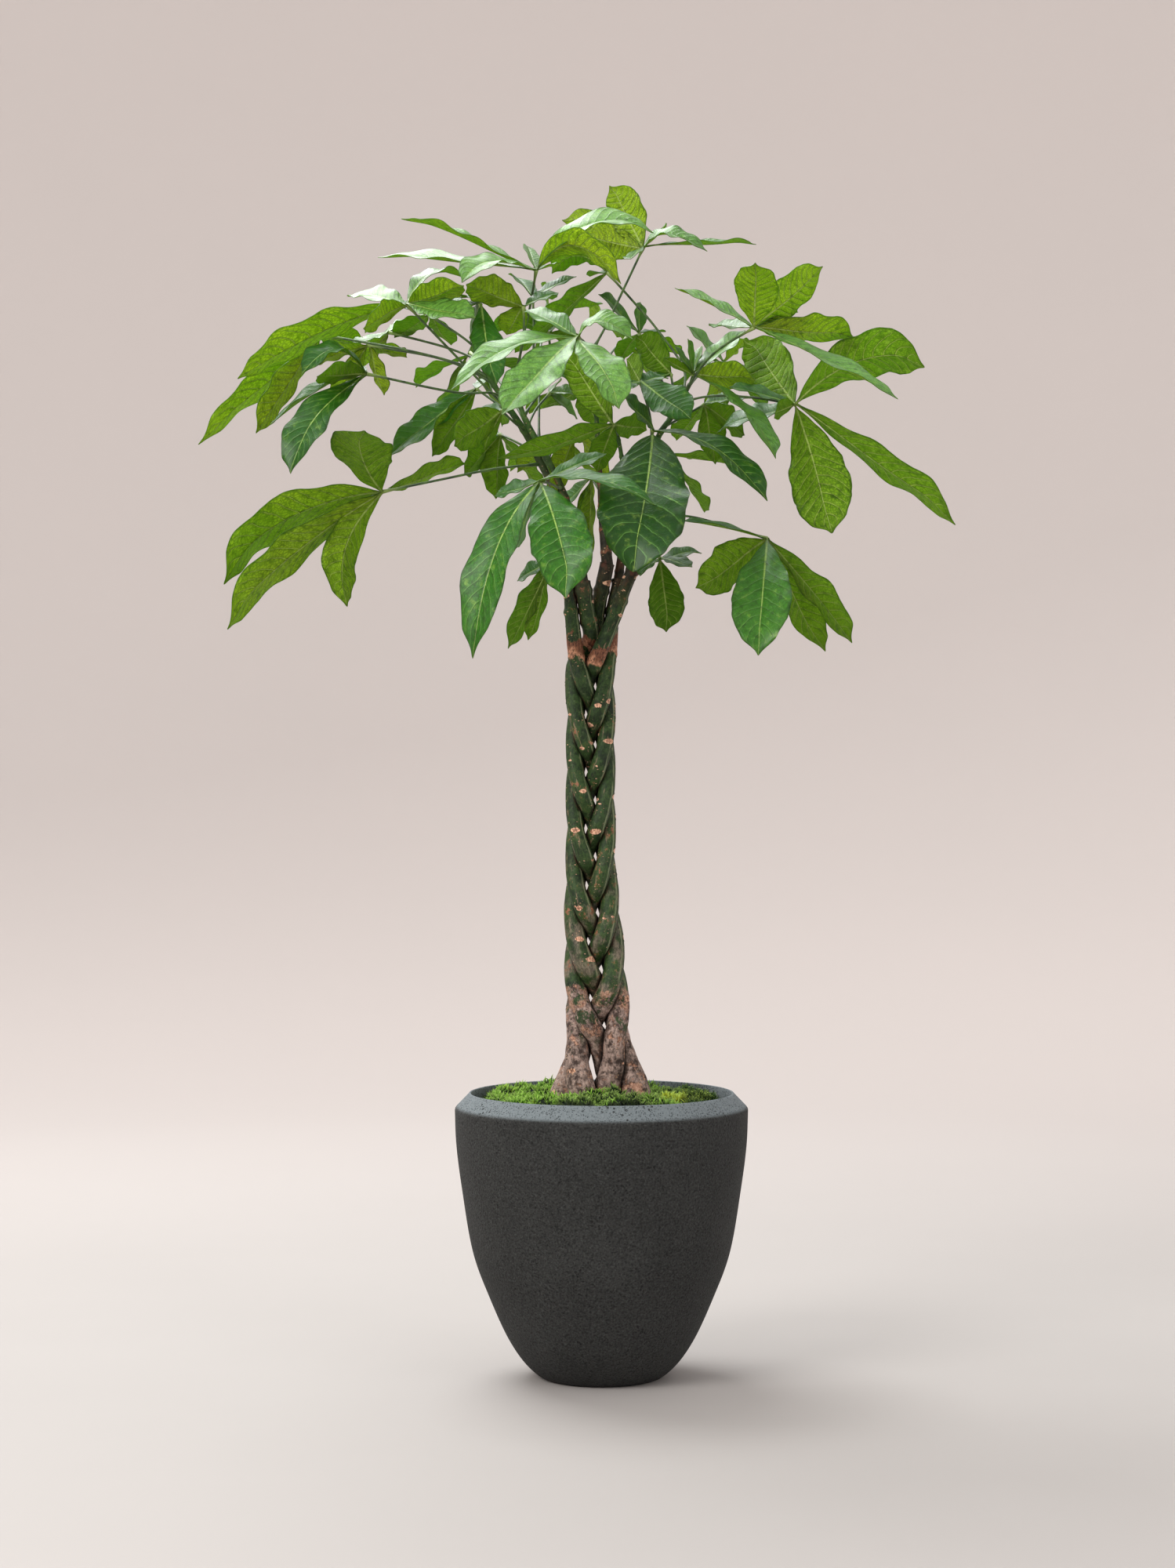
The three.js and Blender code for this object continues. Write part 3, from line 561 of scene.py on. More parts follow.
deselect()
bpy.ops.mesh.primitive_cone_add(vertices=3, radius1=0.55, radius2=0, depth=1, location=(0, 0, 0.5))
settle(bpy.context.object)
mode("EDIT")
for cut in FROND_CUTS:
    bpy.ops.mesh.select_all(action="SELECT")
    bpy.ops.mesh.bisect(plane_co=(0, 0, cut), plane_no=(0, 0, 1))
mode("OBJECT")
frond = Template(bpy.context.object)
swell = np.interp(frond.points[:, 2], [0, *FROND_CUTS, 1], [0.5, 1.0, 0.8, 0.0])
ring = np.maximum(np.hypot(frond.points[:, 0], frond.points[:, 1]), 1e-6)
frond.points[:, :2] *= (0.5 * swell / ring)[:, None]
print("pad of", len(pad.points), "points and frond of", len(frond.faces), "faces")

# %% Moss finish
moss = Finish("curled_moss")
tone, tip = moss.attribute("tone"), moss.attribute("tip")
across, deep, _ = moss.parts(moss.spot)
patches = moss.grain(16, 3.0)
fine = moss.grain(300, 2.0)
fresh = (tone * 0.45 + 0.5 + (patches - 0.5) * 1.4).ramp(0.1, 0.9)
# Painted shade: the moss is darkened near the planter's wall, and most behind the front rim, where
# the rim's shadow falls
wall_shade = ((across * across + deep * deep) ** 0.5).ramp(0.152, 0.168)
front_gap_shade = deep.ramp(-0.116, -0.134) * (0.5 + 0.5 * across.ramp(-0.14, -0.02))
right_end = across.ramp(0.104, 0.120) * (1 - tip.ramp(0.84, 0.98))
green = moss.layers(
    (16, 46, 16),
    ((116, 168, 44), fresh),
    ((168, 168, 22), tone.ramp(1.6, 2.4) * 0.75),
    # Paler frond tips, partly their own colour and partly a painted highlight
    ((176, 208, 108), tip.ramp(0.5, 1.0) * 0.6),
    # Painted shade: the lower parts of the fronds, and the pad under them, are darkened
    ((8, 20, 5), (1 - tip).ramp(0.28, 0.78) * 0.9),
    # painted shade by the wall and behind the front rim
    ((10, 18, 6), wall_shade * 0.88),
    ((10, 18, 6), front_gap_shade * 0.92),
    ((18, 46, 14), right_end * 0.9),
)
curled = moss.shade(green, 0.72 + 0.2 * fine, fine, 0.0008, specular=0.25, strength=0.6)
moss_finish = moss.surface(curled)

# %% Lay the eight cushions
FRONDS = 1500
SKIRT = 0.45
FROND_LENGTHS = (0.0060, 0.0120)
FROND_GIRTHS = (0.0015, 0.0028)
FROND_LEAN = 34
FROND_ROOT = 0.002


def lay_cushion(number):
    heap = Heap()
    across = (pad.points[:, 0] + 1) / 2
    outward = (pad.points[:, 1] + 1) / 2 * (1 + SKIRT) - SKIRT
    top, _ = moss_top(number, across, outward)
    top[pad.points[:, 2] < -0.5, 2] = SOIL_TOP + 0.0004
    # A tip value of 0 paints the pad dark, a painted shade under the fronds
    heap.add(top, pad.faces, tone=-0.8, tip=0.0)
    u = chance.uniform(0.01, 0.99, FRONDS)
    v = (1 + SKIRT) * np.sqrt(chance.uniform(0.0, 1.0, FRONDS)) - SKIRT
    for root, clump in zip(*moss_top(number, u, np.minimum(v, 0.985))):
        away = np.array([*(root[:2] - clump_spots[clump]), 0.0]) * FROND_LEAN
        lean = away + chance.normal(0, 0.42, 3)
        lean[2] = 1 + abs(lean[2]) * 0.3
        lean /= np.linalg.norm(lean)
        curl = np.cross(lean, chance.normal(0, 1, 3))
        curl /= np.linalg.norm(curl)
        third = np.cross(lean, curl)
        length, girth = chance.uniform(*FROND_LENGTHS), chance.uniform(*FROND_GIRTHS)
        along = frond.points[:, 2:3]
        bent = lean * along + curl * along**2 * chance.uniform(0.2, 0.8)
        shaft = curl * frond.points[:, :1] + third * frond.points[:, 1:2]
        points = root - lean * FROND_ROOT + bent * length + shaft * girth
        tone = clump_tones[clump] + chance.uniform(-0.9, 0.9)
        heap.add(points, frond.faces, tone=tone, tip=0.2 + 0.8 * frond.points[:, 2])
    piece = heap.piece(f"money_tree_moss_{number + 1}", [moss_finish], 75)
    hand_over(piece, "moss", f"moss_cushion_{number + 1}")
    return piece


cushions = [lay_cushion(number) for number in range(MOSS_CUSHIONS)]
print("moss of", triangles(*cushions), "triangles")

# %% [markdown]
# ## The braided trunk
# Money trees are braided while their stems are soft, and they thicken pressed against each other.
# Seen from above, each strand of a flat plait goes round a figure of eight, a fifth of a turn
# behind the last, so one formula gives all five. Below the plait they spread into feet, and above
# it each leaves through its own neck to a green shoot. A straight rod is modelled once and bent
# along each of these paths.

# %% The plait as a formula
STRANDS = 5
BRAID_PERIOD = 0.392
BRAID_START = 0.739
BRAID_HALF_WIDTH = 0.0237
BRAID_HALF_DEPTH = 0.018
BRAID_TOP = 0.985
STRAND_RADIUS = 0.0115
SQUARENESS = 0.03
PLAIT_FOOT = 0.470
FOOT_HEIGHT = 0.386
BUTTRESS_TOP = 0.465
TAPER_TOP = 0.750
TAPER_BOTTOM = 0.500
WIDENING, DEEPENING = 0.28, 0.15
LEAN_BOTTOM = 0.340
TRUNK_LEAN = -0.015


def taper(height):
    """0 high up, and 1 low down where the trunk is thicker."""
    return smooth(TAPER_TOP, TAPER_BOTTOM, height)


def braid_point(strand, height):
    turn = 2 * math.pi * ((height - BRAID_START) / BRAID_PERIOD + strand / STRANDS)
    side = math.atan2(2 * math.sin(turn), math.cos(turn))
    swing = (math.sin(turn) + SQUARENESS * math.sin(3 * turn)) / (1 - SQUARENESS)
    x = (1 + WIDENING * taper(height)) * BRAID_HALF_WIDTH * swing
    x += TRUNK_LEAN * smooth(LEAN_BOTTOM, TAPER_TOP, height)
    y = -(1 + DEEPENING * taper(height)) * BRAID_HALF_DEPTH * math.sin(2 * side)
    return np.array([x, y, height])


def braid_radius(height, flare):
    buttress = smooth(BUTTRESS_TOP, FOOT_HEIGHT, height)
    return STRAND_RADIUS * (1 + WIDENING * taper(height)) + flare * buttress


print("strands at mid height:", [round(float(braid_point(k, 0.7)[0]), 3) for k in range(STRANDS)])

# %% Feet below the plait
KNEE_SHARE = 0.45
ROOT_END = 0.345


def foot_points(strand, x, y, bow):
    """The strand's way down from the plait: a leg, bowed sideways, that goes on into the soil."""
    slope = (FOOT_HEIGHT - ROOT_END) / (PLAIT_FOOT - FOOT_HEIGHT)
    top = braid_point(strand, PLAIT_FOOT)
    root = [x + (x - top[0]) * slope, y + (y - top[1]) * slope, ROOT_END]
    standing = np.array([x, y, FOOT_HEIGHT])
    knee = top + (standing - top) * KNEE_SHARE + [bow, 0, 0]
    return [np.array(root), standing, knee]


print("one foot:", np.round(foot_points(0, 0.04, 0.0, 0.0), 3).tolist())

# %% Where each stem stands, parts and shoots
# Each stem: where it stands at the moss and how much wider it is there, its neck above the plait,
# the neck's radius, its shoot, the shoot's radii, and the pixel heights between which its old
# bark ends in a tan collar
STEMS = {
    "stem_left_front": dict(
        neck=[[731, 800, -8], [727.6, 761, -4], [727, 740, -2]],
        foot=(0.0475, 0.002, 0.008), radius=8.5, girth=(8, 6, 3), collar=(839, 815),
        shoot=[[727, 744, -2], [722, 700, 4], [715, 640, 8], [690, 590, 10], [672, 555, 10],
               [649, 520, 10], [621, 477, 10], [608, 455, 10]],
    ),
    "stem_left_back": dict(
        neck=[[745, 828, 14], [754, 812, 4], [749, 782, -6], [743, 742, -9]],
        foot=(0.020, 0.026, 0.004), radius=11, girth=(9, 6, 3), collar=(830, 814),
        shoot=[[743, 746, -9], [735, 690, -14], [722, 640, -18], [701, 592, -20],
               [685, 563, -20], [669, 532, -18], [658, 500, -14]],
    ),
    "stem_right_front": dict(
        neck=[[769, 822, -16], [788, 776, -14], [797, 751, -12], [808, 726, -12]],
        foot=(-0.025, -0.026, 0.005), bow=-0.004, radius=9, girth=(8, 5, 3), collar=(849, 831),
        shoot=[[807, 731, -12], [803, 690, -12], [811, 640, -12], [842, 553, -12],
               [858, 530, -12], [880, 490, -12]],
    ),
    "stem_right_back": dict(
        neck=[[778, 825, 10], [780, 795, 14], [783, 768, 17], [789, 740, 19]],
        foot=(-0.0525, 0.012, 0.0055), radius=8, girth=(7, 4, 2.5), collar=(834, 808),
        shoot=[[788, 745, 19], [795, 690, 24], [798, 640, 26], [790, 565, 26], [784, 546, 22]],
    ),
    "stem_middle_back": dict(
        neck=[[761, 812, 16], [762, 782, 15], [770, 741, 11], [775, 719, 8]],
        foot=(0.0035, -0.006, 0.004), bow=0.004, radius=10, girth=(8.5, 3.6, 2.8),
        collar=(826, 806),
        shoot=[[775, 723, 8], [769, 660, 10], [765, 601, 10], [762, 549, 10], [760, 514, 10],
               [757, 440, 10]],
    ),
}
print("shoots through", [len(stem["shoot"]) for stem in STEMS.values()], "places")


# %% A straight rod
def rod(sides, first_cuts, second_cuts):
    """A closed straight rod, one high and of radius 1, cut across into many rings."""
    deselect()
    bpy.ops.mesh.primitive_cylinder_add(
        vertices=sides, radius=1, depth=1, location=(0, 0, 0.5), end_fill_type="TRIFAN"
    )
    made = bpy.context.object
    settle(made)
    for cuts in (first_cuts, second_cuts):
        mode("EDIT")
        bpy.ops.mesh.select_mode(type="EDGE")
        bpy.ops.mesh.select_all(action="DESELECT")
        mode("OBJECT")
        for edge in made.data.edges:
            low, high = (made.data.vertices[i].co for i in edge.vertices)
            edge.select = abs(high.z - low.z) > 1e-5
        mode("EDIT")
        bpy.ops.mesh.subdivide(number_cuts=cuts)
    bpy.ops.mesh.select_mode(type="VERT")
    mode("OBJECT")
    return Template(made)


STRAND_CUTS = (20, 19)
strand_rod = rod(28, *STRAND_CUTS)
shoot_rod = rod(14, 12, 8)
stalk_rod = rod(8, 6, 3)
print("strand rod of", len(strand_rod.faces), "faces, stalk rod of", len(stalk_rod.faces))


# %% Bend a rod along a path
def unit(vectors):
    return vectors / np.linalg.norm(vectors, axis=-1, keepdims=True)


def bend_rod(template, path, radii, relief=None):
    """Points of the rod along a path; relief(places) raises its skin in metres."""
    tangent = unit(np.gradient(path, axis=0))
    sides = [unit(np.cross(tangent[0], [0.0, 1.0, 0.3]))]
    for direction in tangent[1:]:
        sides.append(unit(sides[-1] - direction * np.dot(sides[-1], direction)))
    sides = np.array(sides)
    third = np.cross(tangent, sides)
    share = template.points[:, 2]
    index = np.clip(np.round(share * (len(path) - 1)).astype(int), 0, len(path) - 1)
    x, y = template.points[:, :1], template.points[:, 1:2]
    outward = sides[index] * x + third[index] * y
    reach = np.asarray(radii)[index][:, None]
    places = path[index] + outward * reach
    if relief is not None:
        places = places + outward * relief(places)[:, None]
    cap = np.hypot(x, y) < 1e-4
    dome = np.where(share < 0.5, -0.5, 0.5)[:, None] * tangent[index] * reach
    return np.where(cap, places + dome, places), share


upright, _ = bend_rod(stalk_rod, np.linspace([0, 0, 0], [0, 0, 1], 29), np.full(29, 0.01))
print("a rod along a straight path is", np.ptp(upright, axis=0).round(3), "big")

# %% [markdown]
# ## Bark
# Near the soil the stems are old wood, flaky and grey-brown, with pinkish patches where the skin
# has rubbed away. Higher up the skin is smooth and dark green, dotted with tan scars where leaves
# once grew, and above a tan collar the young wood is nearly black and then green. Height and noise
# paint all of it, except for the collars and scars, which each strand carries as values.

# %% Bark patterns
bark = Finish("braided_bark")
_, _, high = bark.parts(bark.spot)
POINT_VALUES = ("collar", "scar", "shoot", "crevice", "lip", "east", "north", "way")
collar, scar, shoot, crevice, lip, east, north, way = map(bark.attribute, POINT_VALUES)
lengthwise = bark.node("CombineXYZ", None, {"X": east, "Y": north, "Z": way * 11})
mottle = bark.grain(60, 5.0, 0.65)
blotch = bark.grain(34, 5.0, 0.65)
speckle = bark.grain(170, 3.0, 0.6)
fine = bark.grain(420, 4.0, 0.7, bark.stretch(bark.spot, 1, 1, 0.5))
edge = bark.grain(42, 6.0, 0.72)
streak = bark.grain(2.6, 6.0, 0.62, lengthwise)
border = high + (edge - 0.5) * 0.15
old = border.ramp(0.529, 0.525)
fringe = border.ramp(0.536, 0.530) * border.ramp(0.517, 0.524) * blotch.ramp(0.44, 0.56)
# A painted highlight: a pale stripe on the side of each strand that faces right and towards the
# front
side_highlight = abs(east - 0.72 + (mottle - 0.5) * 0.16).ramp(0.13, 0.03)
side_highlight = side_highlight * north.ramp(0.1, -0.3) * streak.ramp(0.36, 0.52)
grey = blotch.ramp(0.47, 0.60) * high.ramp(0.74, 0.60)
worn = bark.grain(46, 6.0, 0.75).ramp(0.53, 0.60)
mossy = bark.grain(44, 5.0, 0.75).ramp(0.54, 0.58) * high.ramp(0.440, 0.490)
young = (high + (edge - 0.5) * 0.05).ramp(1.055, 1.115)
ragged = (mottle - 0.5) * 2.2 + (fine - 0.5) * 0.8
pores = bark.cells(150, vector=bark.stretch(bark.spot, 1, 1, 1.6)).ramp(0.24, 0.14)
pores = pores * bark.grain(52, 2.0).ramp(0.53, 0.60)
# Browner in blotches round the places where strands touch
crevice_brown = crevice.ramp(0.02, 0.35) * blotch.ramp(0.44, 0.56)
print("patterns of", len(bark.nodes), "nodes")

# %% Bark colours
flakes = (streak * 0.5 + fine * 0.5).ramp(0.38, 0.62)
weathered = bark.layers((74, 66, 56), ((136, 122, 106), flakes))
pink = bark.layers((150, 104, 82), ((214, 168, 142), fine.ramp(0.35, 0.65)))
skin = bark.layers(
    (17, 31, 14),
    ((52, 76, 34), (mottle * 0.55 + fine * 0.45).ramp(0.36, 0.64)),
    ((92, 106, 70), speckle.ramp(0.58, 0.70) * 0.4),
    # painted highlight stripe
    ((138, 146, 112), side_highlight * 0.55),
    (weathered, grey * 0.72),
    ((146, 122, 98), streak.ramp(0.60, 0.67) * 0.55),
)
wood = bark.layers(
    (62, 49, 44),
    ((178, 154, 143), (mottle * 0.5 + speckle * 0.3 + streak * 0.2).ramp(0.41, 0.59)),
    ((40, 33, 28), fine.ramp(0.50, 0.32) * 0.8),
    (pink, worn * 0.75),
    ((40, 62, 34), mossy * 0.9),
)
dark = bark.layers(
    (22, 18, 13),
    ((56, 46, 34), mottle.ramp(0.35, 0.65)),
    ((92, 50, 38), blotch.ramp(0.52, 0.62) * 0.7),
)
sprout = bark.layers((24, 44, 14), ((62, 96, 34), mottle.ramp(0.3, 0.7)))
crust = (fine * 0.5 + speckle * 0.3 + mottle * 0.2).ramp(0.38, 0.62)
tan = bark.layers((56, 29, 21), ((146, 92, 68), crust))
healed = bark.layers(
    (132, 84, 62),
    ((226, 178, 148), fine.ramp(0.38, 0.58)),
    ((82, 50, 38), scar.ramp(0.75, 1.0) * speckle.ramp(0.48, 0.56) * 0.7),
)
colour = bark.layers(
    skin,
    (wood, old),
    (pink, fringe * 0.65),
    (dark, young * 0.9),
    (sprout, shoot),
    (tan, (collar + ragged * 1.5).ramp(0.36, 0.64) * 0.92),
    # A painted highlight along the lower edge of each collar
    ((214, 156, 124), collar * lip * fine.ramp(0.35, 0.55) * 0.7),
    (healed, (scar + ragged * 0.5).ramp(0.36, 0.56)),
    ((196, 160, 128), pores * 0.8),
    ((72, 42, 28), crevice_brown * 0.6),
    # Painted shade where strands touch each other
    ((12, 11, 8), crevice * 0.92),
)
print("patterns and colours of", len(bark.nodes), "nodes")

# %% Bark finish
relief = mottle * 0.5 + fine * (0.25 + 0.6 * old) + streak * 0.5 + pores * 0.6 - worn * old * 0.8
roughness = 0.48 + 0.26 * old + 0.12 * fine
bark_finish = bark.surface(bark.shade(colour, roughness, relief, 0.0018, specular=0.24))

# %% Middle lines of the strands
RINGS = (STRAND_CUTS[0] + 1) * (STRAND_CUTS[1] + 1) + 1


def strand_line(number, foot, neck, radius, bow=0.0, **_):
    """Middle line and radii of a strand from its root to its pruned top."""
    heights = np.linspace(PLAIT_FOOT, BRAID_TOP, 24)
    plait = [braid_point(number, height) for height in heights]
    points = [*foot_points(number, *foot[:2], bow), *plait, *map(place, neck)]
    path = thread(points, RINGS)
    leaving = smooth(BRAID_TOP - 0.020, points[-1][2], path[:, 2])
    return path, braid_radius(path[:, 2], foot[2]) * (1 - leaving) + radius / 1000 * leaving


LINES = [strand_line(i, **stem) for i, stem in enumerate(STEMS.values())]
print("strands up to", [round(float(path[-1, 2]), 3) for path, _ in LINES])

# %% Scars and crevices
SCARS = 40
SCAR_WIDTHS, SCAR_TALLEST = (0.002, 0.012), 0.0056
SCAR_LIP = 0.0006
TOUCHING, NOT_TOUCHING = 0.0002, 0.0046


def scar_field(places, spots):
    """1 in the middle of each scar, falling to 0 at its edge; scars are wider than high."""
    field = np.zeros(len(places))
    for centre, width, height in spots:
        apart = places - centre
        level = np.hypot(apart[:, 0], apart[:, 1]) / width
        field = np.maximum(field, 1 - np.hypot(level, apart[:, 2] / height))
    return np.clip(field * 1.6, 0, 1)


def crevices(places, number):
    """1 where a point of one strand's skin touches another strand, falling to 0 beside it."""
    near = np.full(len(places), 1.0)
    heights = places[:, 2]
    for other, (path, radii) in enumerate(LINES):
        if other != number:
            rows = (path[:, 0], path[:, 1], radii)
            x, y, reach = (np.interp(heights, path[:, 2], row) for row in rows)
            apart = np.hypot(places[:, 0] - x, places[:, 1] - y) * 0.94 - reach
            near = np.minimum(near, np.where(heights > path[-1, 2], 1.0, apart))
    return smooth(NOT_TOUCHING, TOUCHING, near)


def stem_scars(number, path, radii):
    lucky = np.random.default_rng(100 + number)
    spots = []
    for i in lucky.integers(20, RINGS - 4, SCARS):
        angle = lucky.uniform(0, 2 * math.pi)
        out = np.array([math.cos(angle), math.sin(angle), 0.0])
        width = SCAR_WIDTHS[0] + SCAR_WIDTHS[1] * lucky.uniform(0, 1) ** 1.6
        height = min(width * lucky.uniform(0.35, 0.75), SCAR_TALLEST)
        spots.append((path[i] + out * radii[i], width, height))
    return spots


print("scars of the first strand:", len(stem_scars(0, *LINES[0])))

# %% Grow the stems
SHOOT_RINGS = 13 * 9 + 1
COLLAR_BULGE, COLLAR_HALF = 0.0009, 0.004
KNOT_HEIGHT, KNOTS_PER_METRE, KNOTS_START = 0.0016, 150, (1.02, 1.05)
NODE_HEIGHT = 0.0007
ROUGH, OLD_ROUGH, SLOW = 0.0004, 0.0006, 0.0011


def fractal(places, scale, dimension):
    return np.array([noise.fractal(Vector(p) * scale, dimension, 2.0, 3) for p in places])


def grow_stem(number, name, shoot, girth, collar, **_):
    path, radii = LINES[number]
    low, high = (place((0, down, 0))[2] for down in collar)
    radii = radii + COLLAR_BULGE * np.exp(-(((path[:, 2] - low) / COLLAR_HALF) ** 2))
    knots = np.maximum(0, np.sin(path[:, 2] * KNOTS_PER_METRE + number * 2)) ** 5
    radii = radii + KNOT_HEIGHT * knots * smooth(*KNOTS_START, path[:, 2])
    spots = stem_scars(number, path, radii)

    def relief(places):
        slow = [noise.noise(Vector(p) * 14 + Vector((number * 9, 0, 0))) for p in places]
        rough = ROUGH + OLD_ROUGH * smooth(0.54, 0.50, places[:, 2])
        lips = SCAR_LIP * np.sin(np.clip(scar_field(places, spots) * 1.7, 0, 1) * math.pi)
        return fractal(places, 38, 0.9) * rough + np.array(slow) * SLOW + lips

    heap = Heap()
    skin, share = bend_rod(strand_rod, path, radii, relief)
    heights = skin[:, 2] + 0.012 * fractal(skin, 62, 0.8)
    tan = smooth(high + 0.006, high - 0.004, heights) * smooth(low - 0.002, low + 0.001, heights)
    middle = np.column_stack([np.interp(share, np.linspace(0, 1, RINGS), row) for row in path.T])
    east, north, _ = unit(skin - middle).T
    heap.add(
        skin, strand_rod.faces, collar=tan, scar=scar_field(skin, spots), shoot=0.0,
        crevice=crevices(skin, number), east=east, north=north, way=share,
        # painted highlight just above the collar's lower edge
        lip=smooth(0.009, 0.001, np.abs(heights - low - 0.002)),
    )
    shoot_path = thread([place(p) for p in shoot], SHOOT_RINGS)
    along = np.linspace(0, 1, SHOOT_RINGS)
    nodes = NODE_HEIGHT * np.maximum(0, np.sin(along * 60 + number)) ** 6
    girths = np.interp(along, [0, 0.45, 1], girth) / 1000 + nodes
    shoot_skin, share = bend_rod(shoot_rod, shoot_path, girths)
    grown = smooth(0.25, 0.75, share)
    bands = np.maximum(0, np.sin(share * 60 + number)) ** 10 * 0.5
    # Painted shade where the shoot passes among the strands low down
    shoot_crevice_shade = crevices(shoot_skin, number) * smooth(1.06, 1.03, shoot_skin[:, 2])
    heap.add(
        shoot_skin, shoot_rod.faces, collar=bands * (1 - grown), scar=0.0, shoot=grown,
        crevice=shoot_crevice_shade, east=shoot_rod.points[:, 0], north=shoot_rod.points[:, 1],
        way=share * 0.5, lip=0.0,
    )
    piece = heap.piece(f"money_tree_{name}", [bark_finish], 60)
    hand_over(piece, "bark", name)
    return piece


stems = [grow_stem(i, name, **values) for i, (name, values) in enumerate(STEMS.items())]
print("stems of", [triangles(stem) for stem in stems], "triangles")

# %% [markdown]
# ## Leaves
# A money tree's leaf is a hand: a long stalk, a small hub, and three to eight leaflets that start
# from it. Each leaflet is a thin blade with a sunk midrib, about a dozen pairs of side veins with
# the skin bulging between them, a wavy margin and a narrow tip. A grid given a thickness is one
# flat leaflet, and every copy is bent along its own midrib, folded and puckered by formula.

# %% One flat leaflet, modelled once
ALONG, ACROSS = 52, 12
deselect()
bpy.ops.mesh.primitive_grid_add(x_subdivisions=ALONG, y_subdivisions=ACROSS, size=2)
flat_leaflet = bpy.context.object
thickness = flat_leaflet.modifiers.new("Thickness", "SOLIDIFY")
thickness.thickness = 0.2
thickness.offset = 0
bpy.ops.object.modifier_apply(modifier="Thickness")
blade = Template(flat_leaflet)
blade_u = 1 - (1 - (blade.points[:, 0] + 1) / 2) ** 1.25
blade_v = np.sign(blade.points[:, 1]) * np.abs(blade.points[:, 1]) ** 1.5
blade_top = np.sign(blade.points[:, 2])
print("leaflet of", len(blade.faces), "faces")

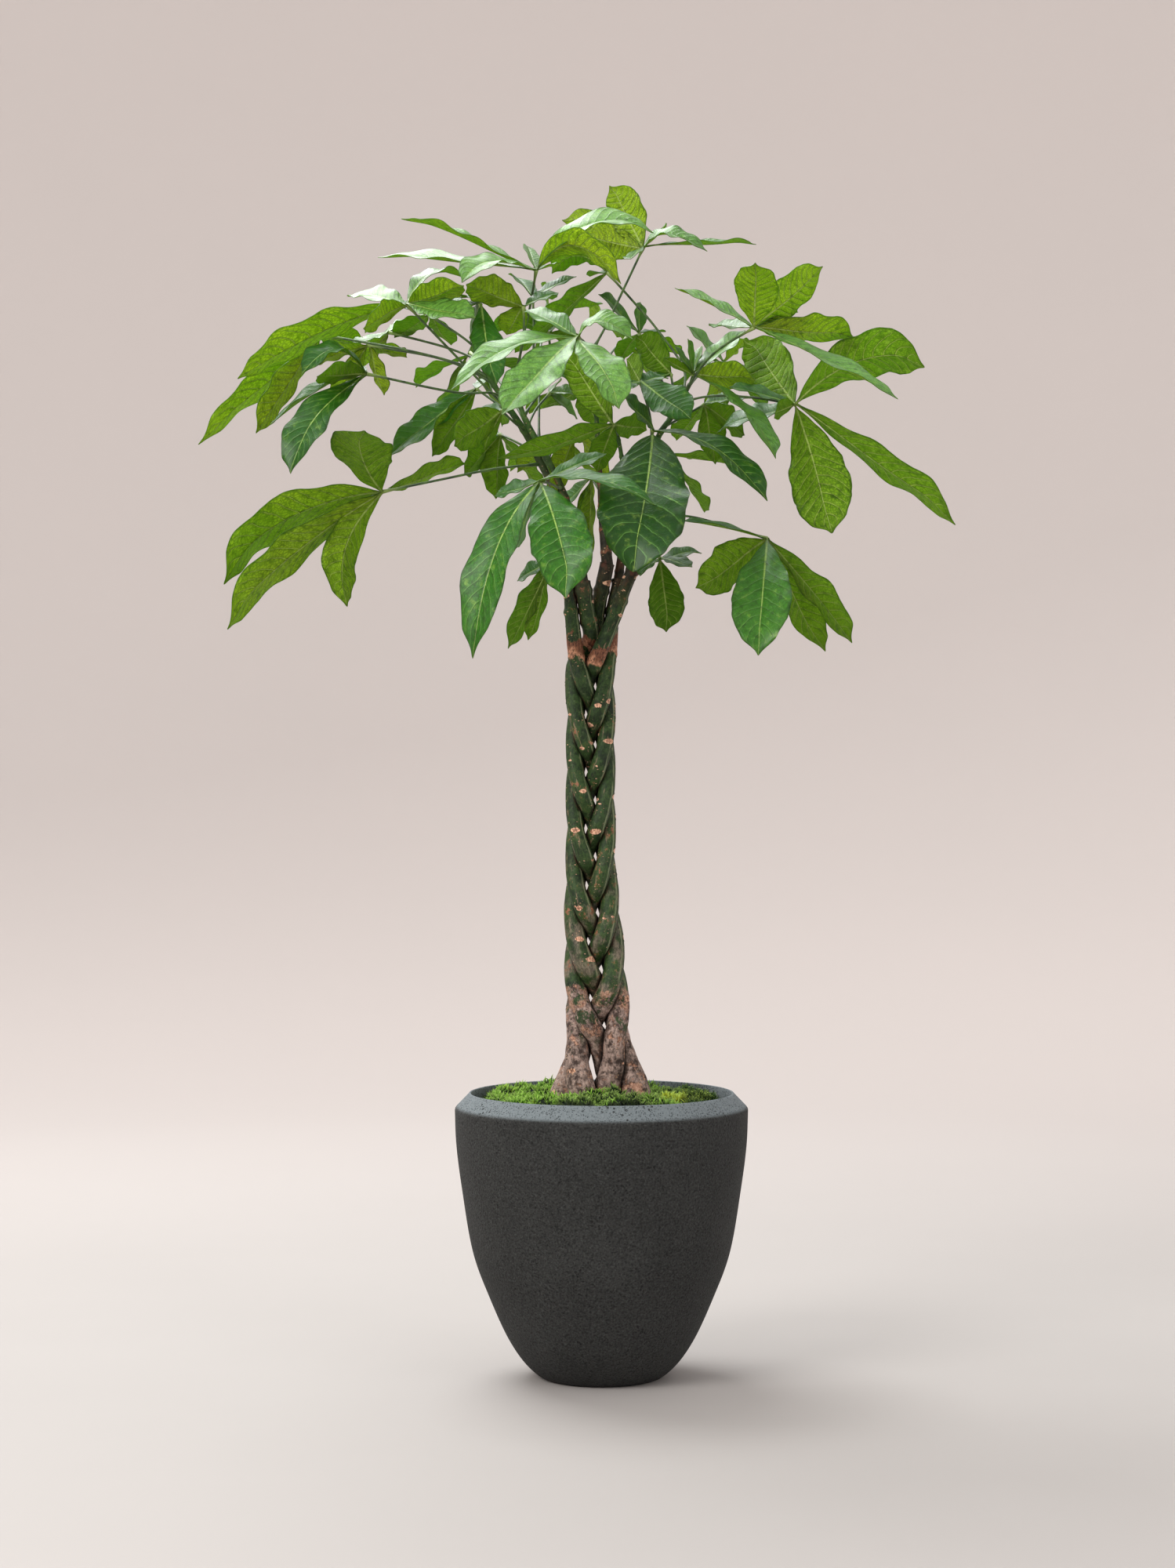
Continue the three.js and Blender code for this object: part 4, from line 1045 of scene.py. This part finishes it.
# %% Where the leaves are
# Each row is a leaf: the number of the stem whose shoot it leaves, at which pixel height, its
# hub, the bends of its stalk on the way there, and its leaflets. A leaflet is (tip across, tip
# down, tip depth, width in mm, roll in degrees, and where its midrib passes halfway). Roll 0
# turns the upper side to the viewer, 90 turns it up, and 180 shows the underside.
LEAVES = [
    (0, 522, (519, 389, -30), [(637, 511, 5), (565, 437, -12)], [
     (305, 481, -70, 72, 115, 403, 425), (447, 372, 60, 48, 50), (590, 350, 70, 44, 62, 548, 352),
     (590, 362, -120, 50, 120), (604, 405, -130, 52, 45), (463, 415, -110, 46, 120)]),
    (0, 466, (496, 424, 100), [(600, 455, 60), (565, 442, 85)], [(455, 470, 150, 40, 120),
     (478, 437, 190, 36, 60), (450, 440, 60, 30, 60), (540, 400, 180, 40, 60)]),
    (0, 480, (409, 427, 40), [(591, 466, 20), (538, 451, 30), (461, 436, 36)], [
     (458, 440, 130, 45, 130), (355, 495, 110, 48, 130), (252, 560, 20, 60, 115, 350, 481),
     (327, 549, -20, 56, 118)]),
    (0, 506, (468, 477, -60), [(626, 501, -24), (587, 501, -44)], [
     (386, 476, -100, 52, 70, 425, 447), (404, 478, -150, 45, 118),
     (346, 539, -60, 54, 70, 420, 488), (376, 598, -150, 66, 38, 406, 532),
     (430, 470, 20, 36, 60)]),
    (0, 592, (489, 627, -40), [(632, 598, -20), (561, 612, -34)], [
     (282, 735, -90, 76, 128, 372, 657), (288, 789, -160, 70, 125, 370, 708),
     (439, 769, -110, 60, 140, 440, 698), (459, 543, -170, 84, 160, 462, 586),
     (593, 590, 60, 50, 110)]),
    (1, 625, (689, 615, -210), [(712, 622, -90), (700, 616, -160)], [
     (604, 833, -270, 68, 35, 634, 702), (730, 756, -320, 80, 5, 712, 680),
     (658, 697, -120, 40, 60), (631, 633, -180, 44, 65), (775, 577, -190, 36, 60),
     (836, 641, -290, 48, 65, 752, 610)]),
    (3, 552, (783, 542, -90), [(786, 545, -40)], [(718, 441, -50, 52, 160),
     (634, 583, -140, 50, 115, 720, 563), (827, 545, -20, 40, 140), (760, 600, -60, 40, 150)]),
    (4, 470, (737, 430, -230), [(755, 450, -90), (745, 436, -170)], [(639, 524, -330, 66, 30),
     (795, 514, -340, 60, 30), (808, 430, -250, 50, 62, 765, 411), (668, 392, -180, 50, 55),
     (575, 491, -260, 60, 62, 655, 445)]),
    (0, 458, (613, 388, -60), [(607, 430, -20)], [(629, 487, -150, 46, 20), (575, 395, 0, 36, 60),
     (600, 430, 60, 34, 60)]),
    (1, 502, (668, 391, -80), [(660, 470, -34), (668, 430, -66)], [(594, 361, -130, 54, 130),
     (590, 375, -20, 48, 60), (645, 425, -40, 42, 140), (712, 372, -60, 36, 60)]),
    (1, 512, (684, 345, -40), [(664, 450, -8), (676, 392, -10)], [
     (834, 290, -20, 60, 60, 752, 288), (793, 356, -90, 56, 118, 735, 312),
     (590, 357, -120, 52, 60, 630, 335), (511, 273, -10, 60, 80, 600, 308), (672, 311, 40, 26, 50),
     (705, 338, 20, 30, 60), (482, 323, 30, 54, 72, 585, 334)]),
    (1, 520, (680, 378, 80), [(680, 450, 40)], [(737, 351, 110, 30, 60), (703, 380, 150, 36, 60),
     (655, 350, 150, 40, 60)]),
    (2, 507, (775, 348, 75), [(872, 470, 30), (835, 416, 50), (810, 387, 65)], [
     (672, 433, 20, 56, 112, 720, 395), (755, 350, 150, 30, 60),
     (704, 347, 110, 46, 118, 738, 325)]),
    (4, 444, (820, 317, 60), [(776, 410, 35), (795, 370, 50)], [(748, 300, 150, 52, 150),
     (780, 231, 110, 56, 150), (851, 287, 120, 30, 80), (902, 318, 40, 48, 65, 852, 300),
     (967, 309, 130, 46, 80, 898, 310), (802, 330, -20, 30, 60), (717, 268, 200, 40, 140)]),
    (2, 498, (962, 418, -150), [(890, 475, -60), (915, 447, -110)], [(966, 332, -240, 60, 165),
     (1052, 339, -130, 60, 140), (861, 364, -120, 44, 65), (1018, 395, -60, 30, 84),
     (1093, 424, -60, 58, 120), (1143, 505, -210, 52, 62, 1056, 461), (907, 415, -90, 46, 60)]),
    (2, 517, (1014, 516, -60), [(900, 506, -25), (960, 507, -45)], [(953, 424, 60, 70, 160),
     (1181, 458, -100, 78, 140, 1098, 458), (1057, 676, -140, 84, 165, 1042, 598),
     (1219, 661, -100, 62, 118, 1130, 594), (915, 548, 0, 54, 60), (930, 492, -90, 40, 60),
     (988, 526, -120, 30, 130)]),
    (2, 492, (884, 478, -24), [], [(950, 420, 10, 46, 60), (963, 480, -70, 46, 140),
     (990, 580, -160, 54, 65, 945, 520), (860, 440, -40, 22, 60), (845, 455, -60, 20, 120),
     (878, 430, -50, 18, 60), (895, 440, 0, 20, 60)]),
    (2, 527, (856, 478, 40), [(860, 505, 15)], [(812, 424, 70, 50, 150), (802, 486, 10, 34, 65),
     (780, 500, 120, 36, 60)]),
    (2, 537, (815, 425, 115), [(850, 500, 60)], [(763, 372, 70, 34, 60), (816, 384, 130, 28, 50),
     (790, 457, 170, 34, 130), (848, 422, 150, 24, 70)]),
    (2, 578, (817, 488, -90), [(829, 530, -60)], [(882, 533, -150, 56, 25),
     (775, 492, -130, 40, 60), (800, 455, -40, 40, 130), (850, 480, -60, 34, 60)]),
    (2, 610, (833, 549, -110), [(828, 580, -60)], [(804, 720, -250, 118, 5, 822, 640),
     (974, 634, -170, 62, 62, 915, 575), (797, 505, -150, 44, 60)]),
    (2, 665, (979, 687, -60), [(873, 658, -40), (930, 672, -55)], [(965, 830, -190, 80, 12),
     (890, 752, -120, 66, 150), (1086, 816, -60, 62, 118, 1036, 752), (1048, 828, 0, 60, 140),
     (873, 661, -120, 36, 78)]),
    (2, 690, (842, 712, -40), [(828, 698, -25)], [(854, 803, -70, 50, 170),
     (895, 703, -10, 34, 65), (882, 722, -80, 30, 60), (815, 733, -60, 34, 65)]),
    (1, 668, (703, 715, -90), [(715, 680, -50)], [(650, 826, -130, 50, 120),
     (675, 814, -80, 50, 120), (660, 740, -60, 40, 60)]),
]
print(len(LEAVES), "leaves in front")

# %% Leaves behind and between them
LEAVES += [
    (4, 630, (755, 610, 60), [], [(745, 695, 100, 46, 125), (748, 728, 50, 46, 120),
     (700, 660, 120, 40, 60)]),
    (0, 550, (640, 524, -60), [(655, 538, -25)], [(580, 565, -120, 54, 140),
     (607, 522, -20, 30, 60), (616, 571, -50, 30, 130)]),
    (0, 532, (608, 496, 50), [(637, 517, 25)], [(497, 577, 40, 56, 45), (552, 580, 0, 50, 130),
     (630, 480, 110, 36, 60)]),
    (1, 545, (701, 502, 60), [(684, 522, 20)], [(751, 502, 80, 40, 60), (737, 532, 110, 30, 60),
     (675, 527, 120, 28, 120), (714, 485, 120, 20, 60)]),
    (0, 575, (600, 450, 230), [(665, 530, 60), (640, 490, 140)], [(530, 490, 300, 60, 95),
     (560, 540, 380, 62, 95), (640, 540, 400, 62, 95), (690, 480, 330, 58, 95),
     (620, 420, 370, 50, 95)]),
    (1, 570, (700, 400, 260), [(688, 500, 70), (690, 440, 170)], [(630, 420, 340, 58, 95),
     (680, 480, 420, 62, 95), (760, 470, 400, 62, 95), (770, 385, 220, 56, 95),
     (700, 370, 380, 50, 95)]),
    (4, 505, (800, 430, 300), [(768, 480, 90), (780, 450, 200)], [(750, 400, 440, 60, 95),
     (780, 520, 460, 64, 95), (850, 520, 440, 64, 95), (870, 450, 340, 60, 95)]),
    (2, 552, (900, 450, 230), [(860, 520, 60), (885, 480, 140)], [(850, 520, 330, 60, 95),
     (920, 540, 380, 64, 95), (980, 520, 320, 62, 95), (960, 440, 250, 56, 95)]),
    (1, 600, (720, 560, 260), [(716, 580, 80), (720, 565, 170)], [(650, 600, 330, 60, 95),
     (700, 660, 400, 64, 95), (780, 640, 380, 62, 95), (790, 570, 300, 56, 95)]),
    (3, 640, (850, 580, 250), [(815, 610, 80), (835, 590, 170)], [(790, 640, 330, 60, 95),
     (840, 690, 390, 64, 95), (900, 650, 370, 62, 95), (930, 590, 280, 56, 95)]),
    (1, 591, (733, 546, 21), [(709, 565, 12)], [(661, 601, 81, 54, 116), (708, 634, -32, 50, 125),
     (779, 624, 67, 52, 111), (791, 561, 62, 44, 119)]),
    (4, 522, (739, 498, 191), [(751, 506, 105)], [(689, 522, 256, 44, 113),
     (709, 466, 212, 44, 63), (768, 545, 237, 50, 144), (782, 503, 152, 44, 107)]),
    (2, 548, (898, 516, 40), [(877, 528, 22)], [(950, 552, 0, 50, 120), (915, 590, 60, 50, 140),
     (862, 560, 90, 44, 120), (955, 505, 90, 44, 60)]),
    (0, 578, (638, 554, 73), [(655, 562, 40)], [(592, 606, 42, 50, 120), (631, 634, 65, 52, 135),
     (690, 623, 147, 48, 110), (588, 555, 137, 40, 49)]),
    (1, 534, (700, 424, 103), [(702, 475, 57)], [(657, 403, 76, 44, 122), (656, 448, 126, 44, 106),
     (732, 387, 104, 40, 61), (753, 454, 82, 44, 120)]),
    (0, 500, (548, 402, 70), [(609, 447, 39)], [(490, 385, 40, 44, 70), (505, 430, 110, 46, 120),
     (575, 440, 120, 44, 120), (600, 385, 60, 44, 70)]),
    (2, 498, (923, 463, 180), [(894, 477, 99)], [(876, 414, 182, 40, 63), (954, 432, 167, 46, 102),
     (970, 498, 226, 50, 132), (910, 525, 238, 46, 122)]),
    (0, 487, (470, 440, 60), [(570, 460, 33)], [(400, 462, 40, 44, 110), (425, 508, 90, 44, 120),
     (490, 503, 90, 40, 120), (520, 455, 90, 40, 110)]),
]
print(len(LEAVES), "leaves with", sum(len(leaf[4]) for leaf in LEAVES), "leaflets")

# %% [markdown]
# ## Leaf finish
# The upper side is smooth and waxy, so it shines where it faces the light. The underside is paler
# and dull. Light also passes through the blade, which makes leaves against the light glow, so part
# of the shader lets light through. The veins follow the blade's own map: its first number runs
# from stalk to tip and its second from margin to margin.

# %% Veins of a blade
VEINS = 13
VEIN_SLANT, VEIN_CURVE = 0.10, 0.06
leaf_skin = Finish("leaf_blade")
mapped = leaf_skin.node("UVMap", {"uv_map": "Blade"})
u, v_map, _ = leaf_skin.parts(mapped)
tone, half = leaf_skin.attribute("tone"), leaf_skin.attribute("half")
under = leaf_skin.attribute("under").ramp(0.35, 0.65)
cloud = leaf_skin.grain(16, 3.0)
mottle = leaf_skin.grain(110, 4.0, 0.62)
speck = leaf_skin.grain(240, 4.0, 0.65)
v = abs(v_map * 2 - 1)
phase = (u - VEIN_SLANT * v - VEIN_CURVE * v * v) * VEINS + (cloud - 0.5) * 1.1
share = phase.fraction()
to_vein = abs(share - 0.5) * 2
swell = 1 - to_vein * to_vein
open_blade = v.ramp(0.02, 0.14)
shaded = share.ramp(0.34, 0.03) * open_blade
lit = share.ramp(0.66, 0.97) * open_blade
vein = to_vein.ramp(0.82, 0.95) * v.ramp(1.0, 0.7)
midrib = (v * half / (1.25 - u)).ramp(0.0018, 0.0008)
net_map = leaf_skin.stretch(mapped, 11, 5, 1)
net = leaf_skin.cells(4.0, "DISTANCE_TO_EDGE", net_map).ramp(0.19, 0.02)
print("veins of", len(leaf_skin.nodes), "nodes")

# %% Blade colours
fresh = tone + (cloud - 0.5) * 0.5
top = leaf_skin.layers(
    (10, 62, 20),
    ((40, 112, 18), fresh.ramp(-1.0, 0.0)),
    # The light end is cooled towards a pale bluish green, partly the fresh leaves' own colour and
    # partly a painted sheen on their upper sides
    ((126, 184, 78), fresh.ramp(0.0, 1.0)),
    ((8, 36, 10), shaded * 0.14 + net * 0.36),
    ((118, 178, 72), lit * 0.16 + vein * 0.40),
    ((172, 208, 100), midrib * 0.82),
    ((8, 34, 8), v.ramp(0.91, 0.98) * 0.7),
)
low = leaf_skin.layers(
    (82, 116, 26),
    ((124, 164, 26), fresh.ramp(-1.0, 0.0)),
    ((190, 220, 40), fresh.ramp(0.0, 1.0)),
    ((26, 58, 2), shaded * 0.20 + net * 0.56),
    ((172, 202, 84), lit * 0.12 + vein * 0.6),
    ((178, 202, 104), midrib * 0.8),
    ((30, 56, 8), v.ramp(0.90, 0.97) * 0.66),
)
colour = leaf_skin.layers(
    top,
    (low, under),
    ((8, 38, 0), mottle.ramp(0.50, 0.32) * 0.55),
    ((176, 212, 84), mottle.ramp(0.54, 0.74) * 0.36),
    ((186, 176, 84), speck.ramp(0.66, 0.80) * 0.15),
    ((6, 26, 2), speck.ramp(0.42, 0.28) * 0.45),
)
print("veins and colours of", len(leaf_skin.nodes), "nodes")

# %% Blade finish
relief = swell * (0.5 - 1.05 * under) + vein * (under * 1.6 - 0.6) + midrib * (under * 1.8 - 0.9)
relief = relief - net * 0.25 + speck * 0.35
coat = (0.40 + 0.20 * fresh.ramp(-0.2, 0.8)) * (1 - under)
roughness = 0.34 + 0.26 * under + 0.14 * speck
waxy = leaf_skin.shade(colour, roughness, relief, 0.0018, 0.2, weight=coat, roughness=0.3)
glow = leaf_skin.node("BsdfTranslucent", None, {"Color": paint(164, 214, 40)})
glowing = 0.34 - 0.16 * vein - 0.16 * midrib
leaf_finish = leaf_skin.surface(leaf_skin.node("MixShader", None, {0: glowing, 1: waxy, 2: glow}))

# %% Stalk finish
stalk_skin = Finish("leaf_stalk")
tone = stalk_skin.attribute("tone")
mottle = stalk_skin.grain(90, 4.0)
green = stalk_skin.layers(
    (28, 50, 18),
    ((72, 102, 38), mottle.ramp(0.3, 0.7)),
    ((146, 168, 84), tone.ramp(0.85, 1.0) * 0.6),
)
stalk_shader = stalk_skin.shade(green, 0.42 + 0.2 * mottle, mottle, 0.0005, strength=0.6)
stalk_finish = stalk_skin.surface(stalk_shader)

# %% A leaflet's upper side and width
TO_VIEWER = np.array([0.0, -1.0, 0.0])
BASE_HALF, TIP_HALF = 0.0014, 0.0003


def upper_side(span, roll, hub):
    """Which way a leaflet's upper side faces."""
    facing = unit(TO_VIEWER - span * np.dot(TO_VIEWER, span))
    rising = np.cross(facing, span)
    sky = np.array([hub[0] * 0.6, 0.0, 1.0])
    if np.dot(rising, sky) < 0:
        rising = -rising
    return math.cos(roll) * facing + math.sin(roll) * rising


def blade_half(u, width, lucky):
    """Half the blade's width from stalk to tip; wide leaflets are fuller and end blunt."""
    grown = np.clip((u - 0.03) / 0.97, 0, 1)
    sharp, full = lucky.uniform(1.18, 1.36), lucky.uniform(0.58, 0.68)
    full = full - 0.12 * smooth(0.09, 0.12, width)
    shape = np.sin(math.pi * grown**sharp) ** full
    blunt = 0.66 - 0.24 * smooth(0.08, 0.12, width)
    shape = shape * (1 - blunt * smooth(0.88, 0.985, u))
    return np.maximum(width / 2 * shape, (BASE_HALF - TIP_HALF) * (1 - u) + TIP_HALF)


print("half a blade at its middle:", blade_half(0.5, 0.06, np.random.default_rng(1)).round(4))

# %% Bend a leaflet
BLADE_FOLD = 0.22
BLADE_ARCH = 0.09
BLADE_HALF_THICKNESS = 0.0004
COMMON_WIDTH = 0.06
QUILT_HEIGHT = 0.0006
RUFFLE_HEIGHT = 0.0032
SWAY = 0.0030
UPPER_GROOVE, LOWER_GROOVE, GROOVE_SHARE = 0.0005, 0.0009, 0.06
ROOT_THICKENING = 0.0009
DROOP = 0.028


def bend_leaflet(hub, values, lucky):
    tip = place(values[:3])
    width, roll = values[3] / 1000, math.radians(values[4])
    depth = (hub[1] * 1000 + values[2]) / 2
    middle = (hub + tip) / 2 if len(values) < 7 else place((values[5], values[6], depth))
    control = 2 * middle - (hub + tip) / 2
    span = tip - hub
    length = np.linalg.norm(span)
    upper = upper_side(span / length, roll, hub)
    u, v = blade_u[:, None], blade_v[:, None]
    centre = (1 - u) ** 2 * hub + 2 * u * (1 - u) * control + u**2 * tip
    along = unit(2 * (1 - u) * (control - hub) + 2 * u * (tip - control))
    normal = unit(upper - along * (along @ upper)[:, None])
    side = np.cross(along, normal)
    centre = centre + TO_VIEWER * (BLADE_ARCH * length * math.cos(roll) * 4 * u * (1 - u))
    half = blade_half(u, width, lucky)
    full = half / (width / 2)
    size = width / COMMON_WIDTH
    spread = np.abs(v)
    phases = lucky.uniform(0, 2 * math.pi, 4)
    waves = lucky.uniform(1.4, 2.4) + 1.2 * min(1.0, size)
    droop = smooth(0.72, 1.0, u) ** 1.5 * length
    centre = centre + side * droop * lucky.uniform(-0.05, 0.05) - [0, 0, DROOP] * droop
    mapped_u = u + 0.010 * np.sin(5 * v + phases[0]) + 0.007 * np.sin(19 * u + 3 * v + phases[1])
    ripple = np.sin(u * 2 * math.pi * waves + np.where(v > 0, phases[0], phases[1]))
    phase = VEINS * (mapped_u - VEIN_SLANT * spread - VEIN_CURVE * spread**2)
    quilt = 0.5 - 0.5 * np.cos(2 * math.pi * phase)
    between = np.sin(math.pi * np.clip(spread, 0, 1)) ** 0.7
    raised = BLADE_FOLD * half * (1.45 * spread - 0.45 * spread**2)
    raised = raised + RUFFLE_HEIGHT * size**1.4 * full * spread**2.2 * ripple
    raised = raised + QUILT_HEIGHT * size**1.3 * full * quilt * between
    raised = raised + SWAY * size * lucky.uniform(-1, 1) * np.sin(u * 2 * math.pi + phases[2])
    groove = np.where(blade_top > 0, UPPER_GROOVE, LOWER_GROOVE)[:, None]
    groove = groove * np.exp(-((spread / GROOVE_SHARE) ** 2)) * full
    thick = BLADE_HALF_THICKNESS + ROOT_THICKENING * (1 - smooth(0.03, 0.10, u))
    layer = blade_top[:, None] * thick - groove
    twist = lucky.uniform(-0.16, 0.16) * (u - 0.3)
    turned = side * np.cos(twist) + normal * np.sin(twist)
    uneven = 0.026 * np.sin(u * 2 * math.pi * waves * 1.7 + phases[3]) + 0.014 * (quilt - 0.5)
    margin = 1 + uneven * smooth(0.5, 1.0, spread)
    points = centre + turned * (v * half * margin) + normal * (raised + layer)
    return points, half[:, 0], np.column_stack([mapped_u[:, 0], blade_v / 2 + 0.5])


print("a leaflet is folded", BLADE_FOLD, "and arched", BLADE_ARCH)

# %% Grow the leaves
STALK_RADIUS = 0.0017
# From -1, old and dark, to 1, fresh and light; the other leaves draw theirs. The high tones of
# the upper-left leaves also paint the pale sheen they catch, a painted sheen
TONES = {1: 0.9, 2: 0.8, 3: 0.95, 4: -0.4, 5: 0.2, 6: 0.1, 14: 0.6, 15: 0.6, 16: -0.1}
TONES |= {21: -0.8, 22: 0.0}


def grow_leaf(number, on, at, hub, bends, leaflets):
    lucky = np.random.default_rng(500 + number)
    shoot = list(STEMS.values())[on]["shoot"]
    line = thread([place(p) for p in shoot], 121)
    start = line[np.argmax(line[:, 2] >= place((0, at, 0))[2] - 1e-9)]
    centre = place(hub)
    path = thread([start, *map(place, bends), centre], 7 * 4 + 1)
    along = np.linspace(0, 1, len(path))
    thick = STALK_RADIUS * (1 + 0.9 * smooth(0.12, 0.0, along) + 0.8 * smooth(0.93, 1.0, along))
    heap = Heap()
    stalk, share = bend_rod(stalk_rod, path, thick)
    heap.add(stalk, stalk_rod.faces, 1, tone=share, under=0.0, half=0.0)
    tone = TONES.get(number, lucky.uniform(-0.6, 0.9))
    for values in leaflets:
        points, half, mapping = bend_leaflet(centre, values, lucky)
        own = tone + lucky.uniform(-0.25, 0.25)
        below = (1 - blade_top) / 2
        heap.add(points, blade.faces, 0, mapping, tone=own, under=below, half=half)
    piece = heap.piece(f"money_tree_leaf_{number:02d}", [leaf_finish, stalk_finish], 80)
    hand_over(piece, "leaf", f"leaf_{number:02d}")
    return piece


leaves = [grow_leaf(i + 1, *leaf) for i, leaf in enumerate(LEAVES)]
print("leaves of", triangles(*leaves), "triangles")

# %% [markdown]
# ## Floor and light
# A plain pale floor that curves up all round is seen from every side without an edge. The light is
# a soft studio set: a large key light from the upper left, a weaker one from the right, one behind
# and above that shines through the leaves, and a pale surrounding light.

# %% The floor
FLOOR_RADIUS = 3.4
FLAT_RADIUS = 1.6
COVE = 4.4
COVE_ANGLE = 1.45
floor_profile = [(0.0, 0.0), (FLAT_RADIUS, 0.0)]
for angle in np.linspace(0, COVE_ANGLE, 17):
    across, up = COVE * math.sin(angle), COVE * (1 - math.cos(angle))
    floor_profile.append((FLOOR_RADIUS + across, up))
floor_profile.append((FLOOR_RADIUS + COVE + 0.3, 5.8))
floor = turn("studio_floor", floor_profile, 96, 60)
plaster = Finish("pale_floor")
cloud = plaster.grain(1.3, 3.0)
across, deep, _ = plaster.parts(plaster.spot)
away = (across * across + deep * deep) ** 0.5
# Painted shade: the floor is darker near the middle, where the lamps light it most, and paler far
# off, so that it looks evenly lit
pale = plaster.layers(
    (163, 158, 155), ((217, 208, 204), away.ramp(0.6, 5.2)), ((200, 195, 192), cloud * 0.15)
)
matte = plaster.node("BsdfPrincipled", None, {"Base Color": pale, "Roughness": 0.8})
floor.data.materials.append(plaster.surface(matte))
print("floor of", triangles(floor), "triangles")


# %% The lights
def softbox(name, spot, aim, size, power, tint):
    toward = Vector(aim) - Vector(spot)
    bpy.ops.object.light_add(
        type="AREA", location=spot, rotation=toward.to_track_quat("-Z", "Y").to_euler()
    )
    lamp = bpy.context.object
    lamp.name = name
    lamp.data.shape = "DISK"
    lamp.data.size = size
    lamp.data.energy = power
    lamp.data.color = tint
    lamp.visible_camera = False
    return lamp


softbox("key_light", (-2.8, -3.0, 3.0), (0, 0, 1.0), 2.4, 150, (1.0, 0.985, 0.96))
softbox("fill_light", (3.4, -3.0, 1.8), (0, 0, 0.9), 2.8, 45, (0.96, 0.98, 1.0))
softbox("top_light", (-1.0, 1.5, 3.7), (0, 0, 1.3), 2.6, 170, (0.98, 1.0, 1.0))
world = bpy.data.worlds.new("studio_air")
world.use_nodes = True
air = world.node_tree.nodes["Background"]
air.inputs["Color"].default_value = (0.90, 0.895, 0.89, 1)
air.inputs["Strength"].default_value = 1.0
bpy.context.scene.world = world

# %% [markdown]
# ## Triangles
# The triangles of all the added pieces are counted and printed before the scene is closed.

# %% Count the triangles and finish
print("added", triangles(planter, *cushions, *stems, *leaves), "triangles")
